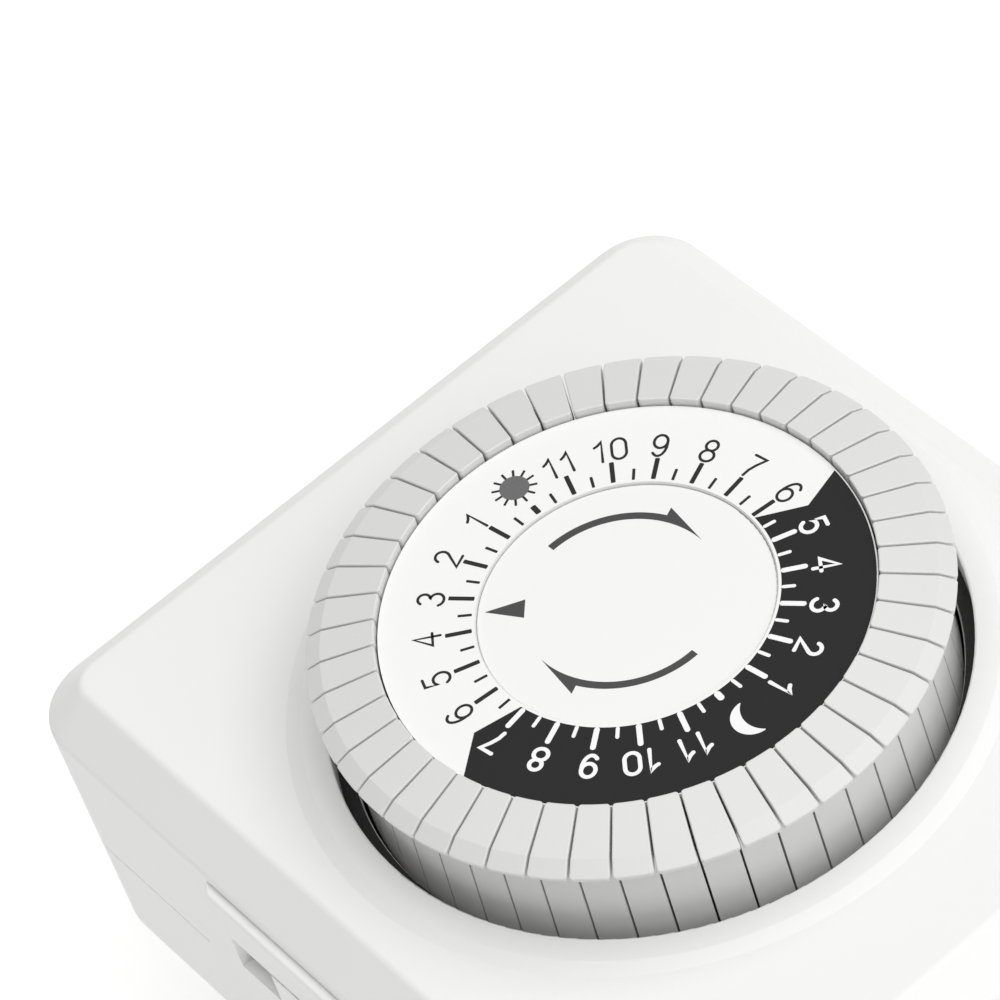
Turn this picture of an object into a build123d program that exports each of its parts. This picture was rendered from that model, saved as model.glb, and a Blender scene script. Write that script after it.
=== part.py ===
from build123d import *
import os
from math import acos, atan2, cos, degrees, pi, radians, sin, sqrt, tan

os.makedirs("parts", exist_ok=True)

# Plug-in 24-hour segment timer. Origin: the dial axis on the rear face.
# +Z runs out of the dial, X along the long side, Y along the short side. Millimetres.

# ---- Driving dimensions ---------------------------------------------------------------
# Case
case_length = 84.4
case_width = 72.0
case_depth = 30.2
case_shift_x = 1.1  # case centre, measured from the dial axis
case_shift_y = -0.9
corner_radius = 6.1
bevel_width = 3.75
bevel_depth = 3.5
bevel_softness = 0.9
edge_window = 0.1  # for picking edges by height
wall = 2.0
parting_z = 12.0
seam_width = 0.14
seam_depth = 0.35
seam_stop = 20.5  # the seam stops short of the switch, this far from the axis
tongue_height = 1.5
tongue_thickness = 0.9
tongue_clearance = 0.1
rear_edge_radius = 1.0

# Dial opening
hole_radius = 26.9
rim_height = 0.4
rim_width = 2.2
rim_slope = 1.3
collar_thickness = 1.2
collar_depth = 4.0
lip_clearance = 0.3  # dust lip to the tappet legs
lip_thickness = 1.0
lip_rise = 0.2  # above the foot of the legs

# Dial
label_z = 39.1
label_thickness = 1.2
label_inner_radius = 12.45
label_outer_radius = 20.5
cap_radius = 12.35
cap_recess = 0.25  # below the label
cap_clearance = 0.3
post_radius = 3.0
post_shoulder_radius = 4.5
stem_radius = 1.6
stem_length = 6.0
cap_edge_radius = 0.15
running_clearance = 0.05
flange_radius = 20.45
flange_thickness = 1.4
barrel_thickness = 1.8
slot_rim_radius = 22.6
hub_radius = 5.0
retainer_thickness = 0.8

# Tappets: one for each half hour
hours = 24
tappets_per_hour = 2
noon_angle = 173.914
tappet_inner_radius = 20.65
tappet_outer_radius = 26.75
tappet_lip_radius = 26.6
tappet_crease_radius = 25.35
tappet_inner_rise = 0.75  # above the label
tappet_crease_drop = 0.12  # below the label
tappet_outer_drop = 0.9
tappet_lip_drop = 1.4
tappet_cap_thickness = 0.1  # below the lip
leg_top_radius = 24.75
leg_bottom_radius = 25.3
leg_inner_radius = 22.85
leg_bottom_z = 26.0
tappet_gap_angle = 0.45
tappet_travel = 3.0
tappet_edge_radius = 0.13
tappet_corner_radius = 0.3
upward = 0.7  # least upward part of a top face's normal
tongue_slot_width = 1.6
tongue_width = 1.3
tongue_inner_radius = 21.3
slot_clearance = 0.2
rim_roof = 1.2
stop_clearance = 0.1

# Gear train
module = 0.5
dial_teeth = 60
pinion_teeth = 10
middle_teeth = 40
first_teeth = 30
backlash = 0.14
pressure_angle = 20.0
dedendum = 1.3  # in modules
flank_steps = 4
wheel_addendum = 0.8
gear_face = 2.0
low_gear_z = 17.2
high_gear_z = 20.2
arbor_radius = 0.8
gear_hub_radius = 1.7
middle_gear_angle = 100.0
first_gear_distance = 24.5
motor_angle = 226.9

# Gear plate
plate_z = 13.5
plate_thickness = 1.5
plate_low = (-35.0, -16.0)
plate_high = (18.0, 23.2)
plate_corner = 3.0
pillar_radius = 2.6
pillars = [(-31.0, -10.0), (14.0, -11.0), (11.5, 19.0)]

# Motor
motor_radius = 14.5
motor_floor_gap = 0.4
motor_height = 9.9
motor_wall = 0.8
motor_screw_radius = 10.5
motor_screw_angles = (150, 330)
coil_inner_radius = 4.0

# Plug, to the usual three-pin pattern
blade_spacing = 12.7
blade_width = 6.35
blade_thickness = 1.5
blade_length = 17.8
ground_offset = 11.9
ground_radius = 2.38
ground_length = 20.6
ground_neck_radius = 2.1
plug_x = 4.0
shoulder_width = 9.0
shoulder_height = 2.0
blade_clearance = 0.1

# Outlet in the +X side
outlet_width = 30.0
outlet_height = 20.0
outlet_depth = 14.3
pad_rise = 0.9
pad_ramp = 4.0  # of the outlet
line_slot_length = 7.2
neutral_slot_length = 8.8
slot_thickness = 2.2
ground_hole_radius = 2.7
contact_sheet = 0.5
contact_gap = 1.6
contact_length = 11.5
contact_width = 6.0
strap_thickness = 0.6
strap_width = 4.0

# Override switch in the -Y side
switch_pad_width = 29.8
switch_pad_ramp = 1.3
switch_pad_low = 8.2
switch_pad_high = 25.8
switch_pad_gap = 0.2
pocket_left = -12.5
pocket_right = 6.95
pocket_top = 21.2
pocket_floor = 17.0
pocket_depth = 1.25
slit_height = 0.9
slider_half_width = 6.8
slider_travel = 5.5
flange_lap = 0.8

# Follower lever and switch
follower_angle = noon_angle + 360.0 / hours * 3.5
pivot_radius = 12.0
pivot_z = 17.2
follower_width = 6.0
follower_clearance = 0.3
pivot_pin_radius = 1.0
follower_hub_radius = 1.9
ear_thickness = 1.5
plate_window_radius = 14.4
leaf_y = -19.5
leaf_z = 11.2
leaf_thickness = 0.4
leaf_width = 5.0
leaf_free_end = -24.0
rivet_radius = 1.6
rivet_height = 0.9
fixed_strip_z = 7.4

# Straps, posts and small pieces
line_bus_z = 10.6
neutral_strap_z = 12.0
ground_strap_z = 5.0
load_run_y = -25.5
load_run_x = 24.6
leaf_gap = 0.3
rivet_x = -22.0
rivet_edge = 0.3
post_radius_small = 2.0
load_posts = [(-22.0, -24.0), (24.6, -25.5)]
contact_pocket_height = 3.2
lead_in = 0.4
pad_edge_radius = 0.3
surround_flange = 1.0
slider_lift = 0.1
slider_ribs = 3
slider_rib_pitch = 2.4
slider_rib_width = 1.0
slider_rib_rise = 0.7
slider_rib_margin = 0.6
shoe_thickness = 1.2
shoe_height = 6.0
finger_width = 3.0
finger_z = 12.2
motor_seat_clearance = 0.15
motor_seat_wall = 0.8
motor_seat_height = 3.0

# Follower arm, in its own plane
arm_bottom_z = 16.0
arm_top_z = 18.4
foot_inner_radius = 25.6
foot_outer_radius = 27.4
foot_bottom_z = 14.4
nose_inner_radius = 23.2
nose_outer_radius = 24.8
nose_root = 0.5

# Follower spring
spring_arm_radius = 18.0
spring_radius = 1.5
spring_wire = 0.35
spring_bottom_z = 8.0
spring_turns = 5

# Screws
plate_screw_radius = 1.05
plate_screw_length = 6.0
plate_screw_head_radius = 2.0
plate_screw_head_height = 1.3
screw_radius = 1.25
screw_head_radius = 2.6
screw_head_height = 1.8
screw_inset = 8.0
boss_radius = 3.6
core_clearance = 0.05
screw_sink = 6.0
housing_screw_length = 16.0
drive_width = 0.8
drive_reach = 1.3  # the recess's length over the head's radius
drive_depth = 0.9

# ---- Values worked out from them ------------------------------------------------------
half_length = case_length / 2
half_width = case_width / 2
side_x = case_shift_x + half_length
side_y = case_shift_y - half_width
bevel_z = case_depth - bevel_depth
bevel_angle = degrees(atan2(bevel_width, bevel_depth))
ceiling_z = case_depth - wall
flange_top_z = label_z - label_thickness
flange_bottom_z = flange_top_z - flange_thickness
cap_bottom_z = flange_top_z + cap_clearance
cap_top_z = label_z - cap_recess
barrel_radius = flange_radius - barrel_thickness
cap_underside_z = label_z - tappet_lip_drop - tappet_cap_thickness
rim_top_z = cap_underside_z - tappet_travel - slot_clearance
barrel_bottom_z = leg_bottom_z - retainer_thickness
plate_top_z = plate_z + plate_thickness
tappet_pitch = 360.0 / (hours * tappets_per_hour)
gear_hub_bottom_z = plate_top_z + stop_clearance
screw_spots = [
    (case_shift_x + i * (half_length - screw_inset), case_shift_y + j * (half_width - screw_inset))
    for i in (-1, 1)
    for j in (-1, 1)
]
blade_spots = {"line": -blade_spacing / 2, "neutral": blade_spacing / 2}
ground_spot = (plug_x - ground_offset, 0)
outlet_z = case_depth / 2
outlet_blade_y = case_shift_y + ground_offset / 2
outlet_ground_y = case_shift_y - ground_offset / 2
line_slot_z = outlet_z - blade_spacing / 2
neutral_slot_z = outlet_z + blade_spacing / 2
outlet_back_x = side_x - outlet_depth
contact_back_x = outlet_back_x


def pitch_radius(teeth):
    return module * teeth / 2


def polar(radius, angle):
    return (radius * cos(radians(angle)), radius * sin(radians(angle)))


spring_spot = polar(spring_arm_radius, follower_angle)

# Gear centres: each one lies at its meshing distance from the gear that drives it.
middle_distance = pitch_radius(dial_teeth) + pitch_radius(pinion_teeth)
first_mesh = pitch_radius(middle_teeth) + pitch_radius(pinion_teeth)
motor_mesh = pitch_radius(first_teeth) + pitch_radius(pinion_teeth)
spread = (middle_distance**2 + first_gear_distance**2 - first_mesh**2) / (
    2 * middle_distance * first_gear_distance
)
first_gear_angle = middle_gear_angle + degrees(acos(spread))
middle_centre = polar(middle_distance, middle_gear_angle)
first_centre = polar(first_gear_distance, first_gear_angle)
motor_step = polar(motor_mesh, motor_angle)
motor_centre = (first_centre[0] + motor_step[0], first_centre[1] + motor_step[1])
first_mesh_angle = degrees(
    atan2(first_centre[1] - middle_centre[1], first_centre[0] - middle_centre[0])
)


def finish(builder, name):
    """Label a finished piece and write its file."""
    builder.part.label = name
    export_step(builder.part, f"parts/{name}.step")


def involute_outline(teeth, tooth_angle, addendum=1.0):
    """Points round a spur gear with one tooth centred on tooth_angle."""
    pitch = pitch_radius(teeth)
    base = pitch * cos(radians(pressure_angle))
    tip = pitch + addendum * module
    root = pitch - dedendum * module
    half_tooth = pi / (2 * teeth) - backlash / (2 * pitch)
    pressure = tan(radians(pressure_angle)) - radians(pressure_angle)

    def flank(radius):
        roll = sqrt(max((radius / base) ** 2 - 1, 0))
        return half_tooth + pressure - (roll - atan2(roll, 1))

    start = max(base, root)
    radii = [start + (tip - start) * i / flank_steps for i in range(flank_steps + 1)]
    if base > root:
        radii.insert(0, root)
    points = []
    for tooth in range(teeth):
        middle = radians(tooth_angle) + 2 * pi * tooth / teeth
        for radius in radii:
            angle = middle - flank(max(radius, start))
            points.append((radius * cos(angle), radius * sin(angle)))
        for radius in reversed(radii):
            angle = middle + flank(max(radius, start))
            points.append((radius * cos(angle), radius * sin(angle)))
    return points


def case_outline(inset, mode=Mode.ADD):
    """Rounded rectangle of the case, moved inwards by inset; call inside a sketch."""
    with Locations((case_shift_x, case_shift_y)):
        RectangleRounded(
            case_length - 2 * inset, case_width - 2 * inset, corner_radius - inset, mode=mode
        )


def side_windows():
    """Cut the openings for the switch surround and the outlet block; call inside a part."""
    with BuildSketch(Plane.XZ.offset(-side_y - wall)) as switch_window:
        with Locations((0, (switch_pad_low + switch_pad_high + switch_pad_gap) / 2)):
            Rectangle(switch_pad_width, switch_pad_high + switch_pad_gap - switch_pad_low)
    extrude(switch_window.sketch, amount=wall, mode=Mode.SUBTRACT)
    with BuildSketch(Plane.YZ.offset(side_x - wall)) as outlet_window:
        with Locations((case_shift_y, outlet_z)):
            Rectangle(outlet_width, outlet_height)
    extrude(outlet_window.sketch, amount=wall, mode=Mode.SUBTRACT)


# ---- Front housing --------------------------------------------------------------------
with BuildPart() as front_housing:
    with BuildSketch(Plane.XY.offset(parting_z)):
        case_outline(0)
    extrude(amount=bevel_z - parting_z)
    with BuildSketch(Plane.XY.offset(bevel_z)):
        case_outline(0)
    extrude(amount=bevel_depth, taper=bevel_angle)
    soft_edges = front_housing.edges().filter_by_position(
        Axis.Z, bevel_z - edge_window, case_depth + edge_window
    )
    long_edges = soft_edges.group_by(Axis.Z)[-1] + soft_edges.group_by(Axis.Z)[0]
    fillet(long_edges, bevel_softness)
    # raised rim round the dial opening
    with BuildSketch(Plane.XZ):
        with BuildLine():
            Polyline(
                (hole_radius, ceiling_z),
                (hole_radius, case_depth + rim_height),
                (hole_radius + rim_width, case_depth + rim_height),
                (hole_radius + rim_width + rim_slope, case_depth),
                (hole_radius + rim_width + rim_slope, ceiling_z),
                close=True,
            )
        make_face()
    revolve(axis=Axis.Z)
    rim_edges = front_housing.edges().filter_by(GeomType.CIRCLE).group_by(Axis.Z)[-1]
    fillet(rim_edges, rim_height / 2)
    # inside
    with BuildSketch(Plane.XY.offset(parting_z)):
        case_outline(wall)
    extrude(amount=bevel_z - parting_z, mode=Mode.SUBTRACT)
    with BuildSketch(Plane.XY.offset(bevel_z)):
        case_outline(wall)
    extrude(amount=ceiling_z - bevel_z, taper=bevel_angle, mode=Mode.SUBTRACT)
    # dust collar with its lip, and the opening
    with BuildSketch(Plane.XY.offset(ceiling_z - collar_depth)):
        Circle(hole_radius + collar_thickness)
        Circle(hole_radius, mode=Mode.SUBTRACT)
    extrude(amount=collar_depth)
    with BuildSketch(Plane.XY.offset(leg_bottom_z + lip_rise)):
        Circle(hole_radius + collar_thickness)
        Circle(leg_bottom_radius + lip_clearance, mode=Mode.SUBTRACT)
    extrude(amount=lip_thickness)
    with BuildSketch(Plane.XY.offset(ceiling_z)):
        Circle(hole_radius)
    extrude(amount=wall + rim_height, mode=Mode.SUBTRACT)
    # screw bosses
    with BuildSketch(Plane.XY.offset(parting_z)):
        with Locations(*screw_spots):
            Circle(boss_radius)
    extrude(amount=ceiling_z - parting_z)
    with BuildSketch(Plane.XY.offset(parting_z)):
        with Locations(*screw_spots):
            Circle(screw_radius + core_clearance)
    extrude(amount=ceiling_z - parting_z - wall, mode=Mode.SUBTRACT)
    side_windows()
finish(front_housing, "front_housing")

# ---- Rear housing ---------------------------------------------------------------------
with BuildPart() as rear_housing:
    with BuildSketch(Plane.XY):
        case_outline(0)
    extrude(amount=parting_z)
    fillet(rear_housing.edges().group_by(Axis.Z)[0], rear_edge_radius)
    with BuildSketch(Plane.XY.offset(wall)):
        case_outline(wall)
    extrude(amount=parting_z - wall, mode=Mode.SUBTRACT)
    # fine shadow gap at the parting line, except below the switch
    with BuildSketch(Plane.XY.offset(parting_z - seam_width)):
        case_outline(0)
        case_outline(seam_depth, mode=Mode.SUBTRACT)
        with Locations((0, side_y)):
            Rectangle(2 * seam_stop, 2 * seam_depth + seam_width, mode=Mode.SUBTRACT)
    extrude(amount=seam_width, mode=Mode.SUBTRACT)
    # tongue that locates the front housing
    inner_inset = wall + tongue_clearance + tongue_thickness
    with BuildSketch(Plane.XY.offset(parting_z - 2 * tongue_height)):
        case_outline(wall)
        case_outline(inner_inset, mode=Mode.SUBTRACT)
    extrude(amount=2 * tongue_height)
    with BuildSketch(Plane.XY.offset(parting_z)):
        case_outline(wall + tongue_clearance)
        case_outline(inner_inset, mode=Mode.SUBTRACT)
    extrude(amount=tongue_height)
    # bosses for the screws, pillars for the gear plate, posts for the straps and the spring
    with BuildSketch(Plane.XY.offset(wall)):
        with Locations(*screw_spots):
            Circle(boss_radius)
    extrude(amount=parting_z - wall)
    with BuildSketch(Plane.XY.offset(wall)):
        with Locations(*pillars):
            Circle(pillar_radius)
    extrude(amount=plate_z - wall)
    with BuildSketch(Plane.XY.offset(wall)):
        with Locations(*load_posts):
            Circle(post_radius_small)
    extrude(amount=fixed_strip_z - wall)
    with BuildSketch(Plane.XY.offset(wall)):
        with Locations((plug_x, leaf_y)):
            Circle(post_radius_small)
    extrude(amount=line_bus_z - wall)
    with BuildSketch(Plane.XY.offset(wall)):
        with Locations(spring_spot):
            Circle(spring_radius + 2 * spring_wire)
    extrude(amount=spring_bottom_z - wall)
    # ring that locates the motor
    with BuildSketch(Plane.XY.offset(wall)):
        with Locations(motor_centre):
            Circle(motor_radius + motor_seat_clearance + motor_seat_wall)
            Circle(motor_radius + motor_seat_clearance, mode=Mode.SUBTRACT)
    extrude(amount=motor_seat_height)
    # holes
    with BuildSketch(Plane.XY):
        with Locations(*screw_spots):
            Circle(screw_radius + 2 * blade_clearance)
    extrude(amount=parting_z, mode=Mode.SUBTRACT)
    with BuildSketch(Plane.XY):
        with Locations(*screw_spots):
            Circle(screw_head_radius + 2 * blade_clearance)
    extrude(amount=screw_sink, mode=Mode.SUBTRACT)
    with BuildSketch(Plane.XY.offset(plate_z - plate_screw_length)):
        with Locations(*pillars):
            Circle(plate_screw_radius + core_clearance)
    extrude(amount=plate_screw_length, mode=Mode.SUBTRACT)
    with BuildSketch(Plane.XY):
        with Locations(*[(plug_x, y) for y in blade_spots.values()]):
            Rectangle(blade_width + 2 * blade_clearance, blade_thickness + 2 * blade_clearance)
        with Locations(ground_spot):
            Circle(ground_radius + blade_clearance)
    extrude(amount=wall, mode=Mode.SUBTRACT)
    side_windows()
    # room behind the windows for the surround's flange and the outlet block
    flange_reach = switch_pad_width / 2 + 2 * flange_lap
    with BuildSketch(Plane.XZ.offset(-side_y - inner_inset - tongue_clearance)):
        with Locations((0, parting_z)):
            Rectangle(2 * flange_reach, 2 * (parting_z - switch_pad_low + 2 * flange_lap))
    extrude(amount=inner_inset + tongue_clearance - wall, mode=Mode.SUBTRACT)
    with BuildSketch(Plane.YZ.offset(side_x - inner_inset - tongue_clearance)):
        with Locations((case_shift_y, outlet_z)):
            Rectangle(outlet_width + 2 * tongue_clearance, outlet_height + 2 * tongue_clearance)
    extrude(amount=inner_inset + tongue_clearance - wall, mode=Mode.SUBTRACT)
finish(rear_housing, "rear_housing")

# ---- Override switch: surround and slider ---------------------------------------------
half_pad = switch_pad_width / 2
inside_y = side_y + wall
with BuildPart() as switch_surround:
    with BuildSketch(Plane.XY.offset(switch_pad_low)):
        with BuildLine():
            Polyline(
                (-half_pad, side_y),
                (-half_pad + switch_pad_ramp, side_y - pad_rise),
                (half_pad - switch_pad_ramp, side_y - pad_rise),
                (half_pad, side_y),
                (half_pad, inside_y),
                (-half_pad, inside_y),
                close=True,
            )
        make_face()
    extrude(amount=switch_pad_high - switch_pad_low)
    proud_edges = switch_surround.edges().filter_by(Axis.X).group_by(Axis.Y)[0]
    fillet(proud_edges, pad_edge_radius)
    flange_height = switch_pad_high - switch_pad_low + 2 * flange_lap
    with BuildSketch(Plane.XZ.offset(-inside_y - surround_flange)):
        with Locations((0, (switch_pad_low + switch_pad_high) / 2)):
            Rectangle(switch_pad_width + 2 * flange_lap, flange_height)
    extrude(amount=surround_flange)
    # finger pocket with a ramp down to the slit
    with BuildSketch(Plane.YZ.offset(pocket_left)):
        with BuildLine():
            Polyline(
                (side_y - pad_rise, pocket_top),
                (side_y - pad_rise + pocket_depth, pocket_floor + slit_height),
                (side_y - pad_rise + pocket_depth, pocket_floor),
                (side_y - pad_rise, pocket_floor),
                close=True,
            )
        make_face()
    extrude(amount=pocket_right - pocket_left, mode=Mode.SUBTRACT)
    with BuildSketch(Plane.XZ.offset(-inside_y - surround_flange)):
        with Locations(((pocket_left + pocket_right) / 2, pocket_floor + slit_height / 2)):
            Rectangle(pocket_right - pocket_left, slit_height)
    extrude(amount=wall + surround_flange + pad_rise, mode=Mode.SUBTRACT)
finish(switch_surround, "switch_surround")

with BuildPart() as override_slider:
    face_y = side_y - pad_rise
    with BuildSketch(Plane.YZ.offset(-slider_half_width)):
        with BuildLine():
            Polyline(
                (face_y - slider_lift, pocket_top - slider_lift),
                (face_y, pocket_top - slider_lift),
                (face_y + pocket_depth - slider_lift, pocket_floor + slit_height + slider_lift / 2),
                (face_y + pocket_depth - slider_lift, pocket_floor + slider_lift / 2),
                (face_y - slider_lift, pocket_floor + slider_lift / 2),
                close=True,
            )
        make_face()
    extrude(amount=2 * slider_half_width)
    # grip ribs
    with BuildSketch(Plane.XY.offset(pocket_floor + slider_rib_margin)):
        with GridLocations(slider_rib_pitch, 0, slider_ribs, 1):
            with Locations((0, face_y - slider_rib_rise / 2)):
                Rectangle(slider_rib_width, slider_rib_rise)
    extrude(amount=pocket_top - pocket_floor - 2 * slider_rib_margin)
    # stem through the slit, shoe behind the wall, finger that reaches over the contact leaf
    shoe_y = inside_y + surround_flange + slider_lift
    with BuildSketch(Plane.XY.offset(pocket_floor + slider_lift / 2)):
        with BuildLine():
            Polyline(
                (-slider_half_width, face_y + pocket_depth / 2),
                (slider_half_width, face_y + pocket_depth / 2),
                (slider_half_width, shoe_y),
                (-slider_half_width, shoe_y),
                close=True,
            )
        make_face()
    extrude(amount=slit_height - slider_lift)
    with BuildSketch(Plane.XZ.offset(-shoe_y - shoe_thickness)):
        with Locations((0, pocket_floor)):
            Rectangle(2 * slider_half_width, shoe_height)
    extrude(amount=shoe_thickness)
    finger_y = leaf_y - leaf_width / 2
    with BuildSketch(Plane.XY.offset(finger_z)):
        with Locations((0, (shoe_y + finger_y) / 2)):
            Rectangle(finger_width, finger_y - shoe_y)
    extrude(amount=pocket_floor - finger_z)
finish(override_slider, "override_slider")

# ---- Outlet block and its contacts ----------------------------------------------------
slots = [(line_slot_z, line_slot_length), (neutral_slot_z, neutral_slot_length)]
pad_x = side_x + pad_rise
with BuildPart() as outlet_block:
    with BuildSketch(Plane.YZ.offset(outlet_back_x)):
        with Locations((case_shift_y, outlet_z)):
            Rectangle(outlet_width, outlet_height)
    extrude(amount=side_x - outlet_back_x)
    with BuildSketch(Plane.XY.offset(outlet_z - outlet_height / 2)):
        with BuildLine():
            Polyline(
                (side_x, case_shift_y - outlet_width / 2),
                (pad_x, case_shift_y - outlet_width / 2 + pad_ramp / 2),
                (pad_x, case_shift_y + outlet_width / 2 - pad_ramp / 2),
                (side_x, case_shift_y + outlet_width / 2),
                close=True,
            )
        make_face()
    extrude(amount=outlet_height)
    fillet(outlet_block.edges().filter_by(Axis.Y).group_by(Axis.X)[-1], pad_edge_radius)
    # slots and the round ground hole, each with a lead-in
    with BuildSketch(Plane.YZ.offset(outlet_back_x)):
        for slot_z, slot_length in slots:
            with Locations((outlet_blade_y, slot_z)):
                Rectangle(slot_length, slot_thickness)
        with Locations((outlet_ground_y, outlet_z)):
            Circle(ground_hole_radius)
    extrude(amount=pad_x - outlet_back_x, mode=Mode.SUBTRACT)
    pad_face = outlet_block.faces().filter_by(Axis.X).sort_by(Axis.X)[-1]
    chamfer(pad_face.inner_wires().edges(), lead_in)
    # pockets for the contacts, open to the inside
    with BuildSketch(Plane.YZ.offset(outlet_back_x)):
        for slot_z, slot_length in slots:
            with Locations((outlet_blade_y, slot_z)):
                Rectangle(slot_length + 2 * blade_clearance, contact_pocket_height)
        with Locations((outlet_ground_y, outlet_z)):
            Circle(ground_hole_radius + contact_sheet + blade_clearance)
    extrude(amount=contact_length + contact_sheet, mode=Mode.SUBTRACT)
finish(outlet_block, "outlet_block")

for contact_name, slot_z in (("line_contact", line_slot_z), ("neutral_contact", neutral_slot_z)):
    with BuildPart() as contact:
        with BuildSketch(Plane.XZ.offset(-outlet_blade_y - contact_width / 2)):
            with Locations((contact_back_x + contact_length / 2, slot_z)):
                Rectangle(contact_length, contact_gap + 2 * contact_sheet)
            with Locations((contact_back_x + contact_length / 2 + contact_sheet, slot_z)):
                Rectangle(contact_length, contact_gap, mode=Mode.SUBTRACT)
        extrude(amount=contact_width)
    finish(contact, contact_name)

with BuildPart() as ground_contact:
    ground_clip_radius = ground_radius + blade_clearance
    with BuildSketch(Plane.YZ.offset(contact_back_x)):
        with Locations((outlet_ground_y, outlet_z)):
            Circle(ground_clip_radius + contact_sheet)
    extrude(amount=contact_length)
    with BuildSketch(Plane.YZ.offset(contact_back_x + contact_sheet)):
        with Locations((outlet_ground_y, outlet_z)):
            Circle(ground_clip_radius)
        with Locations((outlet_ground_y, outlet_z + ground_clip_radius)):
            Rectangle(contact_sheet, 2 * ground_clip_radius)
    extrude(amount=contact_length, mode=Mode.SUBTRACT)
finish(ground_contact, "ground_contact")

# ---- Plug blades and pin --------------------------------------------------------------
blade_tops = {"line": line_bus_z, "neutral": neutral_strap_z}
for blade_name, blade_y in blade_spots.items():
    with BuildPart() as blade:
        with BuildSketch(Plane.XY.offset(-blade_length)):
            with Locations((plug_x, blade_y)):
                Rectangle(blade_width, blade_thickness)
        extrude(amount=blade_length + blade_tops[blade_name])
        tip_corners = blade.edges().filter_by(Axis.Y).group_by(Axis.Z)[0]
        chamfer(tip_corners, blade_thickness)
        with BuildSketch(Plane.XY.offset(wall)):
            with Locations((plug_x, blade_y)):
                Rectangle(shoulder_width, blade_thickness)
        extrude(amount=shoulder_height)
    finish(blade, f"{blade_name}_blade")

with BuildPart() as ground_pin:
    with BuildSketch(Plane.XY.offset(-ground_length)):
        with Locations(ground_spot):
            Circle(ground_radius)
    extrude(amount=ground_length)
    with BuildSketch(Plane.XY):
        with Locations(ground_spot):
            Circle(ground_neck_radius)
    extrude(amount=ground_strap_z)
    fillet(ground_pin.edges().group_by(Axis.Z)[0], ground_radius - contact_sheet)
    with BuildSketch(Plane.XY.offset(wall)):
        with Locations(ground_spot):
            Circle(ground_radius + contact_sheet)
    extrude(amount=shoulder_height / 2)
finish(ground_pin, "ground_pin")

# ---- Straps and bus bars --------------------------------------------------------------
half_strap = strap_width / 2
with BuildPart() as line_bus:
    with BuildSketch(Plane.XY.offset(line_bus_z)):
        with BuildLine():
            Polyline(
                (plug_x - half_strap, blade_spots["line"] + half_strap),
                (plug_x + half_strap, blade_spots["line"] + half_strap),
                (plug_x + half_strap, leaf_y - leaf_width / 2),
                (leaf_gap, leaf_y - leaf_width / 2),
                (leaf_gap, leaf_y + leaf_width / 2),
                (plug_x - half_strap, leaf_y + leaf_width / 2),
                close=True,
            )
        make_face()
    extrude(amount=strap_thickness)
finish(line_bus, "line_bus")

with BuildPart() as load_bus:
    with BuildSketch(Plane.XY.offset(fixed_strip_z)):
        with BuildLine():
            Polyline(
                (rivet_x - half_strap, leaf_y + half_strap),
                (rivet_x + half_strap, leaf_y + half_strap),
                (rivet_x + half_strap, load_run_y + half_strap),
                (load_run_x - half_strap, load_run_y + half_strap),
                (load_run_x - half_strap, outlet_blade_y + half_strap),
                (contact_back_x, outlet_blade_y + half_strap),
                (contact_back_x, outlet_blade_y - half_strap),
                (load_run_x + half_strap, outlet_blade_y - half_strap),
                (load_run_x + half_strap, load_run_y - half_strap),
                (rivet_x - half_strap, load_run_y - half_strap),
                close=True,
            )
        make_face()
    extrude(amount=strap_thickness)
    with BuildSketch(Plane.XY.offset(fixed_strip_z + strap_thickness)):
        with Locations((rivet_x, leaf_y)):
            Circle(rivet_radius)
    extrude(amount=rivet_height)
    fillet(load_bus.edges().group_by(Axis.Z)[-1], rivet_edge)
finish(load_bus, "load_bus")

strap_back_x = contact_back_x - strap_thickness
with BuildPart() as neutral_strap:
    with BuildSketch(Plane.XZ.offset(-blade_spots["neutral"] - half_strap)):
        with BuildLine():
            Polyline(
                (plug_x - half_strap, neutral_strap_z),
                (contact_back_x, neutral_strap_z),
                (contact_back_x, neutral_slot_z + contact_gap),
                (strap_back_x, neutral_slot_z + contact_gap),
                (strap_back_x, neutral_strap_z + strap_thickness),
                (plug_x - half_strap, neutral_strap_z + strap_thickness),
                close=True,
            )
        make_face()
    extrude(amount=strap_width)
finish(neutral_strap, "neutral_strap")

with BuildPart() as ground_strap:
    with BuildSketch(Plane.XY.offset(ground_strap_z)):
        with BuildLine():
            Polyline(
                (ground_spot[0] - half_strap, half_strap),
                (load_run_x + half_strap, half_strap),
                (load_run_x + half_strap, outlet_ground_y + half_strap),
                (contact_back_x, outlet_ground_y + half_strap),
                (contact_back_x, outlet_ground_y - half_strap),
                (load_run_x - half_strap, outlet_ground_y - half_strap),
                (load_run_x - half_strap, -half_strap),
                (ground_spot[0] - half_strap, -half_strap),
                close=True,
            )
        make_face()
    extrude(amount=strap_thickness)
    with BuildSketch(Plane.YZ.offset(strap_back_x)):
        with Locations((outlet_ground_y, (ground_strap_z + outlet_z + half_strap) / 2)):
            Rectangle(strap_width, outlet_z + half_strap - ground_strap_z)
    extrude(amount=strap_thickness)
finish(ground_strap, "ground_strap")

# ---- Motor: a sealed geared unit that hangs from the gear plate --------------------------
motor_bottom_z = wall + motor_floor_gap
motor_top_z = motor_bottom_z + motor_height
motor_screw_spots = [
    (motor_centre[0] + x, motor_centre[1] + y)
    for x, y in [polar(motor_screw_radius, angle) for angle in motor_screw_angles]
]
plate_screw_spots = pillars + motor_screw_spots

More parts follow.
